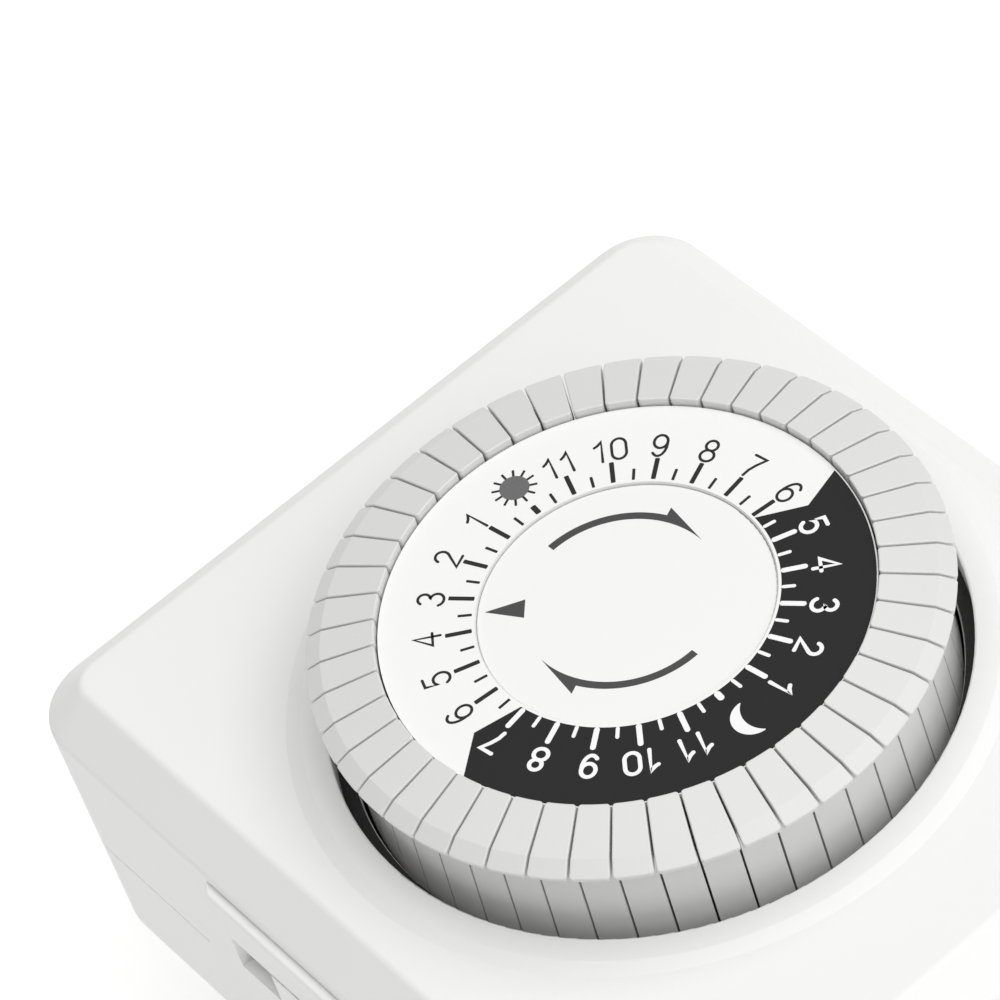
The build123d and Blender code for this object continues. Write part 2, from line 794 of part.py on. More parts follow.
with BuildPart() as motor_can:
    with BuildSketch(Plane.XY.offset(motor_bottom_z)):
        with Locations(motor_centre):
            Circle(motor_radius)
    extrude(amount=motor_height)
    fillet(motor_can.edges(), motor_wall)
    with BuildSketch(Plane.XY.offset(motor_bottom_z + motor_wall)):
        with Locations(motor_centre):
            Circle(motor_radius - motor_wall)
    extrude(amount=motor_height - 2 * motor_wall, mode=Mode.SUBTRACT)
    # bearing for the shaft and two threaded bosses up to the plate
    with BuildSketch(Plane.XY.offset(motor_top_z)):
        with Locations(motor_centre):
            Circle(2 * arbor_radius + running_clearance)
        with Locations(*motor_screw_spots):
            Circle(2 * plate_screw_radius)
    extrude(amount=plate_z - motor_top_z)
    with BuildSketch(Plane.XY.offset(motor_top_z - motor_wall)):
        with Locations(motor_centre):
            Circle(arbor_radius + running_clearance)
        with Locations(*motor_screw_spots):
            Circle(plate_screw_radius + core_clearance)
    extrude(amount=plate_z - motor_top_z + motor_wall, mode=Mode.SUBTRACT)
finish(motor_can, "motor_can")

with BuildPart() as motor_coil:
    with BuildSketch(Plane.XY.offset(motor_bottom_z + motor_wall)):
        with Locations(motor_centre):
            Circle(motor_screw_radius - 2 * plate_screw_radius)
            Circle(coil_inner_radius, mode=Mode.SUBTRACT)
    extrude(amount=motor_height - 2 * motor_wall)
finish(motor_coil, "motor_coil")

# ---- Gear plate, dial post and arbors ---------------------------------------------------
follower_plane = Plane(
    origin=(0, 0, 0),
    x_dir=(cos(radians(follower_angle)), sin(radians(follower_angle)), 0),
    z_dir=(0, 0, 1),
)
lever_plane = Plane(origin=(0, 0, 0), x_dir=follower_plane.x_dir, z_dir=-follower_plane.y_dir)
nose_top_z = leg_bottom_z - follower_clearance
ear_reach = follower_width / 2 + follower_clearance + ear_thickness / 2
with BuildPart() as gear_plate:
    with BuildSketch(Plane.XY.offset(plate_z)):
        with Locations(((plate_low[0] + plate_high[0]) / 2, (plate_low[1] + plate_high[1]) / 2)):
            RectangleRounded(
                plate_high[0] - plate_low[0], plate_high[1] - plate_low[1], plate_corner
            )
    extrude(amount=plate_thickness)
    # ears that hold the follower's pin
    with BuildSketch(follower_plane.offset(plate_top_z)):
        with Locations((pivot_radius, ear_reach), (pivot_radius, -ear_reach)):
            Rectangle(2 * follower_hub_radius, ear_thickness)
    extrude(amount=pivot_z + follower_hub_radius - plate_top_z)
    with BuildSketch(lever_plane):
        with Locations((pivot_radius, pivot_z)):
            Circle(pivot_pin_radius)
    extrude(amount=ear_reach + ear_thickness, both=True, mode=Mode.SUBTRACT)
    # window that the follower arm dips into
    with BuildSketch(follower_plane.offset(plate_z)):
        with Locations((plate_window_radius + plate_high[0], 0)):
            Rectangle(2 * plate_high[0], follower_width + 4 * follower_clearance)
    extrude(amount=plate_thickness, mode=Mode.SUBTRACT)
    # holes for the screws, the motor shaft, the arbors and the post
    with BuildSketch(Plane.XY.offset(plate_z)):
        with Locations(*plate_screw_spots):
            Circle(plate_screw_radius + core_clearance)
        with Locations(motor_centre):
            Circle(2 * arbor_radius + 2 * running_clearance)
        with Locations(middle_centre, first_centre):
            Circle(arbor_radius)
        Circle(post_radius - contact_sheet)
    extrude(amount=plate_thickness, mode=Mode.SUBTRACT)
finish(gear_plate, "gear_plate")

with BuildPart() as dial_post:
    with BuildSketch(Plane.XZ):
        with BuildLine():
            Polyline(
                (0, plate_z),
                (post_radius - contact_sheet, plate_z),
                (post_radius - contact_sheet, plate_top_z),
                (post_shoulder_radius, plate_top_z),
                (post_shoulder_radius, high_gear_z - stop_clearance),
                (post_radius, high_gear_z - stop_clearance),
                (post_radius, cap_bottom_z),
                (0, cap_bottom_z),
                close=True,
            )
        make_face()
    revolve(axis=Axis.Z)
    with BuildSketch(Plane.XY.offset(cap_bottom_z - stem_length)):
        Circle(stem_radius + core_clearance)
    extrude(amount=stem_length, mode=Mode.SUBTRACT)
finish(dial_post, "dial_post")

with BuildPart() as gear_arbors:
    with BuildSketch(Plane.XY.offset(plate_z)):
        with Locations(middle_centre, first_centre):
            Circle(arbor_radius)
    extrude(amount=high_gear_z + gear_face + 3 * stop_clearance - plate_z)
finish(gear_arbors, "gear_arbors")

with BuildPart() as centre_cap:
    with BuildSketch(Plane.XY.offset(cap_bottom_z)):
        Circle(cap_radius)
    extrude(amount=cap_top_z - cap_bottom_z)
    fillet(centre_cap.edges().group_by(Axis.Z)[-1], cap_edge_radius)
    with BuildSketch(Plane.XY.offset(cap_bottom_z - stem_length + stop_clearance)):
        Circle(stem_radius)
    extrude(amount=stem_length - stop_clearance)
finish(centre_cap, "centre_cap")

# ---- Gears ------------------------------------------------------------------------------
# Each pair meets with a tooth of the larger wheel in a gap of the pinion.
gap = 180.0 / pinion_teeth

with BuildPart() as dial_gear:
    with BuildSketch(Plane.XY.offset(high_gear_z)):
        with BuildLine():
            Polyline(*involute_outline(dial_teeth, middle_gear_angle, wheel_addendum), close=True)
        make_face()
        Circle(hub_radius, mode=Mode.SUBTRACT)
    extrude(amount=gear_face)
finish(dial_gear, "dial_gear")


def compound_gear(centre, wheel_teeth, wheel_angle, wheel_z, pinion_angle, pinion_z):
    """A wheel and a pinion on one hub; pinion_angle points at the wheel that it meets."""
    place = Plane(origin=(centre[0], centre[1], 0))
    with BuildPart() as gear:
        with BuildSketch(place.offset(wheel_z)):
            with BuildLine():
                Polyline(*involute_outline(wheel_teeth, wheel_angle, wheel_addendum), close=True)
            make_face()
        extrude(amount=gear_face - 2 * stop_clearance)
        with BuildSketch(place.offset(pinion_z - stop_clearance)):
            with BuildLine():
                Polyline(*involute_outline(pinion_teeth, pinion_angle + gap), close=True)
            make_face()
        extrude(amount=gear_face + stop_clearance)
        with BuildSketch(place.offset(gear_hub_bottom_z)):
            Circle(gear_hub_radius)
        extrude(amount=high_gear_z + gear_face - gear_hub_bottom_z)
        with BuildSketch(place.offset(gear_hub_bottom_z)):
            Circle(arbor_radius + running_clearance)
        extrude(amount=high_gear_z + gear_face - gear_hub_bottom_z, mode=Mode.SUBTRACT)
    return gear


middle_gear = compound_gear(
    middle_centre, middle_teeth, first_mesh_angle, low_gear_z, middle_gear_angle + 180, high_gear_z
)
finish(middle_gear, "middle_gear")
first_gear = compound_gear(
    first_centre, first_teeth, motor_angle, high_gear_z, first_mesh_angle + 180, low_gear_z
)
finish(first_gear, "first_gear")

motor_plane = Plane(origin=(motor_centre[0], motor_centre[1], 0))
with BuildPart() as motor_pinion:
    with BuildSketch(motor_plane.offset(high_gear_z - stop_clearance)):
        with BuildLine():
            Polyline(*involute_outline(pinion_teeth, motor_angle + 180 + gap), close=True)
        make_face()
    extrude(amount=gear_face + 2 * stop_clearance)
    with BuildSketch(motor_plane.offset(motor_top_z - motor_wall)):
        Circle(arbor_radius)
    extrude(amount=high_gear_z - motor_top_z + motor_wall)
finish(motor_pinion, "motor_pinion")

# ---- Dial: drum, label ring and retainer ------------------------------------------------
with BuildPart() as dial_drum:
    with BuildSketch(Plane.XZ):
        with BuildLine():
            Polyline(
                (post_radius + running_clearance, high_gear_z),
                (hub_radius, high_gear_z),
                (hub_radius, flange_bottom_z),
                (barrel_radius, flange_bottom_z),
                (barrel_radius, barrel_bottom_z),
                (slot_rim_radius, barrel_bottom_z),
                (slot_rim_radius, rim_top_z),
                (flange_radius, rim_top_z),
                (flange_radius, flange_top_z),
                (post_radius + running_clearance, flange_top_z),
                close=True,
            )
        make_face()
    revolve(axis=Axis.Z)
    # a guide slot for each tappet, open below and closed above
    with BuildSketch(Plane.XY.offset(barrel_bottom_z)):
        with PolarLocations(
            (tongue_inner_radius + slot_rim_radius) / 2,
            hours * tappets_per_hour,
            start_angle=noon_angle + tappet_pitch / 2,
        ):
            Rectangle(slot_rim_radius - tongue_inner_radius + 2 * slot_clearance, tongue_slot_width)
    extrude(amount=rim_top_z - rim_roof - barrel_bottom_z, mode=Mode.SUBTRACT)
finish(dial_drum, "dial_drum")

with BuildPart() as dial_label:
    with BuildSketch(Plane.XY.offset(flange_top_z)):
        Circle(label_outer_radius)
        Circle(label_inner_radius, mode=Mode.SUBTRACT)
    extrude(amount=label_thickness)
finish(dial_label, "dial_label")

with BuildPart() as tappet_retainer:
    with BuildSketch(Plane.XY.offset(barrel_bottom_z - retainer_thickness)):
        Circle(slot_rim_radius)
        Circle(barrel_radius, mode=Mode.SUBTRACT)
    extrude(amount=retainer_thickness)
finish(tappet_retainer, "tappet_retainer")

# ---- Tappets ----------------------------------------------------------------------------
# One tappet is a sector with a sloping cap, an outer leg and a tongue that runs in its slot.
with BuildPart() as tappet:
    with BuildSketch(Plane.XZ):
        with BuildLine():
            Polyline(
                (tappet_inner_radius, cap_underside_z),
                (tappet_inner_radius, label_z + tappet_inner_rise),
                (tappet_crease_radius, label_z - tappet_crease_drop),
                (tappet_outer_radius, label_z - tappet_outer_drop),
                (tappet_lip_radius, label_z - tappet_lip_drop),
                (leg_top_radius, label_z - tappet_lip_drop),
                (leg_bottom_radius, leg_bottom_z),
                (leg_inner_radius, leg_bottom_z),
                (leg_inner_radius, cap_underside_z),
                close=True,
            )
        make_face()
    revolve(axis=Axis.Z, revolution_arc=tappet_pitch - tappet_gap_angle)
    inner_corners = tappet.edges().filter_by(Axis.Z)
    inner_corners = inner_corners.filter_by_position(Axis.Z, cap_underside_z, label_z + tappet_inner_rise)
    lip_bottom_z = label_z - tappet_lip_drop
    lip_top_z = label_z - tappet_outer_drop
    outer_corners = tappet.edges().filter_by(GeomType.LINE)
    outer_corners = outer_corners.filter_by_position(
        Axis.Z, lip_bottom_z, lip_top_z, inclusive=(False, False)
    )
    fillet(inner_corners + outer_corners, tappet_corner_radius)
    top_faces = tappet.faces().filter_by(lambda face: face.normal_at().Z > upward)
    top_faces = top_faces.sort_by(Axis.Z)[-2:]
    crease = [edge for edge in top_faces[0].edges() if edge in top_faces[1].edges()]
    top_outline = [edge for edge in top_faces.edges() if edge not in crease]
    fillet(top_outline, tappet_edge_radius)
    # tongue
    tongue_bottom_z = barrel_bottom_z + stop_clearance + tappet_travel
    middle_angle = (tappet_pitch - tappet_gap_angle) / 2
    tongue_plane = Plane(
        origin=(0, 0, tongue_bottom_z),
        x_dir=(cos(radians(middle_angle)), sin(radians(middle_angle)), 0),
        z_dir=(0, 0, 1),
    )
    with BuildSketch(tongue_plane):
        with Locations(((tongue_inner_radius + leg_inner_radius + contact_sheet) / 2, 0)):
            Rectangle(leg_inner_radius + contact_sheet - tongue_inner_radius, tongue_width)
    extrude(amount=rim_top_z - rim_roof - stop_clearance - tongue_bottom_z)

# The two tappets of one hour share a node, named by the hour that they switch.
for hour in range(hours):
    first_angle = noon_angle + hour * 360.0 / hours + tappet_gap_angle / 2
    with BuildPart() as tappet_pair:
        turns = [
            Location((0, 0, 0), (0, 0, first_angle + half_hour * tappet_pitch))
            for half_hour in range(tappets_per_hour)
        ]
        with Locations(*turns):
            add(tappet.part)
    finish(tappet_pair, f"tappets_{(hours // 2 + hour) % hours:02d}h")

# ---- Follower lever, its pin and spring -----------------------------------------------------
with BuildPart() as follower_lever:
    with BuildSketch(lever_plane):
        with BuildLine():
            Polyline(
                (pivot_radius, arm_bottom_z),
                (foot_inner_radius, arm_bottom_z),
                (foot_inner_radius, foot_bottom_z),
                (foot_outer_radius, foot_bottom_z),
                (foot_outer_radius, arm_top_z),
                (nose_outer_radius + nose_root, arm_top_z),
                (nose_outer_radius, arm_top_z + nose_root),
                (nose_outer_radius, nose_top_z),
                (nose_inner_radius, nose_top_z),
                (nose_inner_radius, arm_top_z + nose_root),
                (nose_inner_radius - nose_root, arm_top_z),
                (pivot_radius, arm_top_z),
                close=True,
            )
        make_face()
        with Locations((pivot_radius, pivot_z)):
            Circle(follower_hub_radius)
            Circle(pivot_pin_radius + running_clearance, mode=Mode.SUBTRACT)
    extrude(amount=follower_width / 2, both=True)
finish(follower_lever, "follower_lever")

with BuildPart() as follower_pin:
    with BuildSketch(lever_plane):
        with Locations((pivot_radius, pivot_z)):
            Circle(pivot_pin_radius)
    extrude(amount=ear_reach + ear_thickness / 2, both=True)
finish(follower_pin, "follower_pin")

with BuildPart() as follower_spring:
    spring_height = arm_bottom_z - spring_bottom_z - spring_wire
    with BuildLine():
        Helix(
            pitch=spring_height / spring_turns,
            height=spring_height,
            radius=spring_radius,
            center=(spring_spot[0], spring_spot[1], spring_bottom_z + spring_wire / 2),
        )
    helix_start = (spring_spot[0] + spring_radius, spring_spot[1], spring_bottom_z + spring_wire / 2)
    with BuildSketch(Plane(origin=helix_start, x_dir=(1, 0, 0), z_dir=(0, 1, 0))):
        Circle(spring_wire / 2)
    sweep(is_frenet=True)
finish(follower_spring, "follower_spring")

# ---- Moving contact ---------------------------------------------------------------------------
with BuildPart() as contact_leaf:
    with BuildSketch(Plane.XY.offset(leaf_z)):
        with Locations((leaf_free_end / 2, leaf_y)):
            Rectangle(-leaf_free_end, leaf_width)
    extrude(amount=leaf_thickness)
    fillet(contact_leaf.edges().filter_by(Axis.Z).group_by(Axis.X)[0], leaf_width / 4)
finish(contact_leaf, "contact_leaf")

with BuildPart() as leaf_rivet:
    with BuildSketch(Plane.XY.offset(leaf_z - rivet_height)):
        with Locations((rivet_x, leaf_y)):
            Circle(rivet_radius)
    extrude(amount=rivet_height)
    fillet(leaf_rivet.edges().group_by(Axis.Z)[0], rivet_edge)
finish(leaf_rivet, "leaf_rivet")


# ---- Screws -----------------------------------------------------------------------------------
def cross_slot(radius):
    """Plan of a cross recess; call inside a sketch."""
    Rectangle(drive_reach * radius, drive_width)
    Rectangle(drive_width, drive_reach * radius)


with BuildPart() as plate_screws:
    with BuildSketch(Plane.XY.offset(plate_top_z - plate_screw_length)):
        with Locations(*plate_screw_spots):
            Circle(plate_screw_radius)
    extrude(amount=plate_screw_length)
    with BuildSketch(Plane.XY.offset(plate_top_z)):
        with Locations(*plate_screw_spots):
            Circle(plate_screw_head_radius)
    extrude(amount=plate_screw_head_height)
    fillet(plate_screws.edges().group_by(Axis.Z)[-1], rivet_edge)
    with BuildSketch(Plane.XY.offset(plate_top_z + plate_screw_head_height - drive_depth)):
        with Locations(*plate_screw_spots):
            cross_slot(plate_screw_head_radius)
    extrude(amount=drive_depth, mode=Mode.SUBTRACT)
finish(plate_screws, "plate_screws")

with BuildPart() as housing_screws:
    with BuildSketch(Plane.XY.offset(screw_sink)):
        with Locations(*screw_spots):
            Circle(screw_radius)
    extrude(amount=housing_screw_length)
    with BuildSketch(Plane.XY.offset(screw_sink - screw_head_height)):
        with Locations(*screw_spots):
            Circle(screw_head_radius)
    extrude(amount=screw_head_height)
    fillet(housing_screws.edges().group_by(Axis.Z)[0], rivet_edge)
    with BuildSketch(Plane.XY.offset(screw_sink - screw_head_height)):
        with Locations(*screw_spots):
            cross_slot(screw_head_radius)
    extrude(amount=drive_depth, mode=Mode.SUBTRACT)
finish(housing_screws, "housing_screws")
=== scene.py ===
"""Finishes, printing and studio stage for a plug-in 24-hour segment timer."""

from math import asin, atan2, cos, degrees, hypot, pi, radians, sin

import bmesh
import bpy
from bpy.props import FloatProperty, FloatVectorProperty, IntProperty, PointerProperty
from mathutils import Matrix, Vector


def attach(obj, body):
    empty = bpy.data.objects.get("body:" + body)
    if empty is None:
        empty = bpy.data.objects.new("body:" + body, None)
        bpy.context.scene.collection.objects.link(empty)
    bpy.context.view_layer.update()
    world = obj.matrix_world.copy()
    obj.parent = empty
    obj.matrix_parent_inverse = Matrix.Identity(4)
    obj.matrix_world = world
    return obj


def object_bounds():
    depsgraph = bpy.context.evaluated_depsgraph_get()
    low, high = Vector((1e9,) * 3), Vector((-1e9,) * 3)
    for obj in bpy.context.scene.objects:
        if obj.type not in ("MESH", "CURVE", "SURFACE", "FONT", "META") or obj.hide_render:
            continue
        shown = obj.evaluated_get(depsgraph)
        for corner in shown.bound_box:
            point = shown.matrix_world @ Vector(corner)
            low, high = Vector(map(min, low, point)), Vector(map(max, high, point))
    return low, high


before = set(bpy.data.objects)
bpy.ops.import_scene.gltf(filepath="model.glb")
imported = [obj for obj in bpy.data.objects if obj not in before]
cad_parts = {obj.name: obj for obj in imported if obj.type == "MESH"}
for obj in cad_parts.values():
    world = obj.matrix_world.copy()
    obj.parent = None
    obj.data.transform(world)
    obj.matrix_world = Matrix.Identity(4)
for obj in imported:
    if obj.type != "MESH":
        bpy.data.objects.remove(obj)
cad_box = [list(corner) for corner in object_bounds()]

bl_info = {
    "name": "Segment timer finishes",
    "version": (1, 0, 0),
    "blender": (4, 5, 0),
    "location": "3D View > Sidebar > Timer",
    "description": "Paints the timer's parts, prints its dial and cap, and sets the studio",
    "category": "Object",
}

MM = 0.001
HOURS = 24
NIGHT = range(7, 18)  # hours after noon printed white on black
BLUNT = 0.3  # how far a blunt end bulges, against a round one
TIP = 0.04  # width left at the very end of a round end
MITRE = 0.6  # the sharpest join that is filled to its corner
POINT = 0.02  # width left at a point, against its base
HAIR = 0.9995  # where the inner edge of an arrowhead lies, against its band
LAYER = 0.0004 * MM  # each stroke of a print lies this much over the last


def linear(code):
    """An sRGB hex colour as linear red, green, blue and alpha."""
    parts = [int(code[i : i + 2], 16) / 255 for i in (1, 3, 5)]
    return [c / 12.92 if c <= 0.04045 else ((c + 0.055) / 1.055) ** 2.4 for c in parts] + [1.0]


def length(name, description, millimetres):
    """A length setting, shown in scene units."""
    return FloatProperty(
        name=name, description=description, default=millimetres * MM, unit="LENGTH", precision=5
    )


def angle(name, description, turn):
    """An angle setting, given in degrees."""
    return FloatProperty(
        name=name, description=description, default=radians(turn), subtype="ANGLE"
    )


def place(name, description, millimetres):
    """A point setting, shown in scene units."""
    return FloatVectorProperty(
        name=name,
        description=description,
        default=[m * MM for m in millimetres],
        size=3,
        unit="LENGTH",
        subtype="TRANSLATION",
    )


def hours(name, description, three):
    """Three times of day, in hours after noon."""
    return FloatVectorProperty(name=name, description=description, default=three, size=3)


def colour(name, description, code):
    """A colour setting that starts at an sRGB hex colour."""
    return FloatVectorProperty(
        name=name,
        description=description,
        default=linear(code),
        size=4,
        min=0.0,
        max=1.0,
        subtype="COLOR",
    )


def number(name, description, value):
    """A plain number setting."""
    return FloatProperty(name=name, description=description, default=value, precision=5)


def power(name, description, watts):
    """A light's power setting."""
    return FloatProperty(name=name, description=description, default=watts, unit="POWER")


def share(name, description, value):
    """A setting from nought to one."""
    return FloatProperty(
        name=name, description=description, default=value, min=0.0, max=1.0, subtype="FACTOR"
    )


# ---- Settings ---------------------------------------------------------------------------


class TimerFinishSettings(bpy.types.PropertyGroup):
    """Colours and gloss of the timer's parts, and the sizes of the charcoal ring of painted shade
    in the dial's well.
    """

    case: colour("Case", "White ABS of the two housings", "#f0f0ef")
    tappet: colour("Tappets", "Slightly greyer ABS of the half-hour segments", "#dcdcdb")
    cap: colour("Cap", "White ABS of the fixed centre cap", "#f3f3f2")
    slider: colour("Slider", "White ABS of the override slider", "#ececea")
    drum: colour("Drum", "White acetal of the dial drum", "#e3e3df")
    gear: colour("Gears", "Natural acetal of the gears", "#e6e1d2")
    plate: colour("Gear plate", "Grey glass-filled nylon of the gear plate", "#8f9294")
    outlet: colour("Outlet block", "White heat-resistant ABS of the outlet", "#ebebe8")
    label: colour("Label", "Coated paper of the dial label", "#f4f4f3")
    # Grey of the label's cut edge: partly the paper's own tone, partly painted shade of the step
    # down to the cap.
    edge: colour("Label edge", "Cut edge of the label's paper", "#d9d9d8")
    steel: colour("Steel", "Zinc-plated steel of screws, spring and pins", "#b9bcbe")
    motor: colour("Motor can", "Nickel-plated steel of the motor can", "#c6c5c0")
    copper: colour("Coil", "Enamelled copper wire of the coil", "#b4602f")
    brass: colour("Brass", "Stamped brass of contacts and blades", "#d8b45c")
    # Painted shade: a charcoal tone for a ring that stands in for the shade at the bottom of the
    # dial's well.
    seal: colour("Well shade ring", "Charcoal foam ring in the bottom of the dial's well", "#3c3c3c")
    case_roughness: share("Case roughness", "Fine spark-eroded mould texture", 0.46)
    tappet_roughness: share("Tappet roughness", "Semi-polished mould surface", 0.38)
    # Sizes of the charcoal ring of painted shade in the dial's well.
    seal_inner: length("Shade ring inner radius", "Inner radius of the dust seal", 25.7)
    seal_outer: length("Shade ring outer radius", "Outer radius of the dust seal", 28.0)
    seal_ledge: length("Seal ledge", "Height of the ledge that carries the dust seal", 27.2)
    seal_depth: length("Shade ring thickness", "Thickness of the dust seal", 0.3)


class TimerDialSettings(bpy.types.PropertyGroup):
    """Sizes and colours of the printing on the dial label."""

    noon: angle("Noon", "Where the noon mark stands, from +X", 173.914)
    label_top: length("Label top", "Height of the label's face", 39.1)
    film: length("Ink film", "Thickness of one printed layer", 0.015)
    edge_inner: length("Edge inner radius", "Inner radius of the label's cut edge", 12.36)
    edge_outer: length("Edge outer radius", "Outer radius of the label's cut edge", 12.46)
    edge_depth: length("Edge depth", "Height of the label's cut edge", 0.5)
    edge_drop: length("Edge drop", "How far the cut edge lies under the label's face", 0.12)
    ring_inner: length("Inner ring", "Inner edge of the printed ring", 12.69)
    ring_outer: length("Outer ring", "Outer edge of the night sector", 20.38)
    knee_shift: length("Night knee", "From the ring's middle to the knee in the night's ends", 0.25)
    dusk: hours("Dusk", "Start of night at the inner edge, knee and outer edge", (6.89, 6.56, 7.04))
    dawn: hours("Dawn", "End of night at the inner edge, knee and outer edge", (17.9, 17.46, 17.83))
    hour_tick: length("Hour mark", "Radius where an hour mark ends", 14.91)
    half_tick: length("Half-hour mark", "Radius where a half-hour mark ends", 13.88)
    noon_tick: length("Noon mark", "Radius where the noon and midnight marks end", 13.72)
    noon_width: length("Noon mark width", "Width of the noon and midnight marks", 0.5)
    hour_width: length("Hour mark width", "Width of an hour mark", 0.4)
    half_width: length("Half-hour mark width", "Width of a half-hour mark", 0.25)
    reverse_gain: length("Reversed gain", "Extra width of marks printed white on black", 0.07)
    digit_low: length("Number foot", "Radius of the foot of the numbers", 15.14)
    digit_high: length("Number head", "Radius of the head of the numbers", 17.6)
    number_shift_x: length("Number shift X", "Numbers printed off centre, along +X", 0.084)
    number_shift_y: length("Number shift Y", "Numbers printed off centre, along -Y", 0.096)
    digit_width: length("Number width", "Width of one digit", 1.22)
    digit_space: length("Number spacing", "Clear space between two digits", 0.34)
    digit_stroke: length("Number stroke", "Stroke of the black numbers", 0.24)
    reverse_stroke: length("Reversed stroke", "Stroke of the white numbers", 0.35)
    sun_radius: length("Sun", "Radius of the sun's disc", 1.27)
    sun_reach: length("Sun rays", "Radius where the sun's rays end", 2.02)
    ray_width: length("Ray width", "Width of one ray", 0.21)
    sun_rays: IntProperty(name="Rays", description="Number of the sun's rays", default=12)
    sun_place: length("Sun place", "Radius of the sun's centre", 16.41)
    moon_place: length("Moon place", "Distance of the moon's centre from the axis", 16.71)
    moon_side: length("Moon side", "How far the moon's centre stands past midnight", 0.75)
    moon_radius: length("Moon", "Radius of the moon's outer curve", 1.78)
    bite_radius: length("Moon bite", "Radius of the moon's inner curve", 2.27)
    bite_shift: length("Bite shift", "From the outer curve's centre to the inner one's", 1.55)
    black: colour("Black ink", "Black of the night sector", "#1b1b1b")
    marks: colour("Mark ink", "Black of the marks and numbers", "#242424")
    white: colour("White ink", "White of the marks and numbers on black", "#f6f6f6")
    sun_grey: colour("Sun ink", "Grey of the sun", "#6a6a6a")


class TimerCapSettings(bpy.types.PropertyGroup):
    """Sizes and colour of the printing on the fixed cap."""

    cap_top: length("Cap top", "Height of the cap's face", 38.85)
    film: length("Ink film", "Thickness of the pad-printed layer", 0.015)
    shift: length("Print shift", "How far the print stands off the axis, along -X", 0.56)
    band_inner: length("Arrow inner edge", "Inner radius of the arrows", 8.34)
    band_outer: length("Arrow outer edge", "Outer radius of the arrows' band", 9.02)
    barb: length("Arrow barb", "Radius of the arrowhead's barb", 9.85)
    band_start: angle("Arrow start", "Where the first arrow's band starts", 182.2)
    band_end: angle("Arrow neck", "Where the first arrow's head starts", 114.8)
    tip: angle("Arrow tip", "Where the first arrow's tip stands", 87.3)
    pointer: angle("Pointer", "Direction of the pointer", 226.7)
    pointer_tip: length("Pointer tip", "Radius of the pointer's tip", 11.33)
    pointer_base: length("Pointer base", "Radius of the pointer's base", 8.07)
    pointer_spread: angle("Pointer spread", "Half the angle of the pointer's base", 6.7)
    ink: colour("Cap ink", "Dark grey of the arrows and pointer", "#484848")


class TimerStageSettings(bpy.types.PropertyGroup):
    """Floor, light and camera."""

    floor_gap: length("Floor gap", "Clear space under the plug's tips", 0.3)
    floor_reach: length("Floor reach", "Half the floor's side", 9000)
    floor_tone: colour("Floor", "Pale matt floor", "#e6e6e6")
    floor_glow: number("Floor glow", "Light from under the floor", 0.36)
    sky: number("Room light", "Strength of the white room", 0.38)
    key_power: power("Key power", "Overhead softbox", 9.6)
    key_side: length("Key side", "Side of the overhead softbox", 1400)
    key_place: place("Key place", "Centre of the overhead softbox", (160, 200, 1000))
    fill_power: power("Fill power", "Softbox beyond the +X side", 2.2)
    fill_side: length("Fill side", "Side of the softbox beyond +X", 800)
    fill_place: place("Fill place", "Centre of the softbox beyond +X", (900, 150, 600))
    eye: place("Camera place", "Centre of the lens", (252.84, -128.2, 369.86))
    tilt: FloatVectorProperty(
        name="Camera turn",
        description="Turns of the camera about X, Y and Z",
        default=[radians(turn) for turn in (40.4604, 12.4364, 49.9732)],
        size=3,
        subtype="EULER",
    )
    lens: number("Lens", "Focal length in millimetres", 195.43)
    sensor: number("Sensor", "Width of the sensor in millimetres", 36.0)
    shift_x: number("Shift X", "Sideways lens shift, against the sensor's width", -0.02235)
    shift_y: number("Shift Y", "Upward lens shift, against the sensor's width", -0.00568)
    near: length("Near clip", "Nearest thing the camera sees", 10)
    far: length("Far clip", "Farthest thing the camera sees", 50000)


# ---- Materials --------------------------------------------------------------------------

# The colour sockets of a mix node, by number, since its names are shared with other kinds.
DARKER, LIGHTER, MIXED = 6, 7, 2
ABS_IOR = 1.54
ACETAL_IOR = 1.48
CLOUD = 14  # mm across, the slow unevenness of a moulded skin


def add(tree, kind, settings=None, links=None):
    """Adds a node, with its settings by property or input name and its links by input name."""
    made = tree.nodes.new(kind)
    for name, value in (settings or {}).items():
        if isinstance(name, int) or name in made.inputs:
            made.inputs[name].default_value = value
        else:
            setattr(made, name, value)
    for name, (source, output) in (links or {}).items():
        tree.links.new(source.outputs[output], made.inputs[name])
    return made


def blank(name):
    """A material with an empty tree, and that tree."""
    material = bpy.data.materials.new(name)
    material.use_nodes = True
    tree = material.node_tree
    tree.nodes.clear()
    return material, tree


def per_metre(millimetres):
    """The texture scale that gives a pattern of that size."""
    return 1 / (millimetres * MM)


def shades(tone, amount):
    """Settings that mix a tone made a little darker with the same tone made a little lighter."""
    darker = [c * (1 - amount) for c in tone[:3]] + [1.0]
    lighter = [min(1.0, c * (1 + amount)) for c in tone[:3]] + [1.0]
    return {"data_type": "RGBA", DARKER: darker, LIGHTER: lighter}


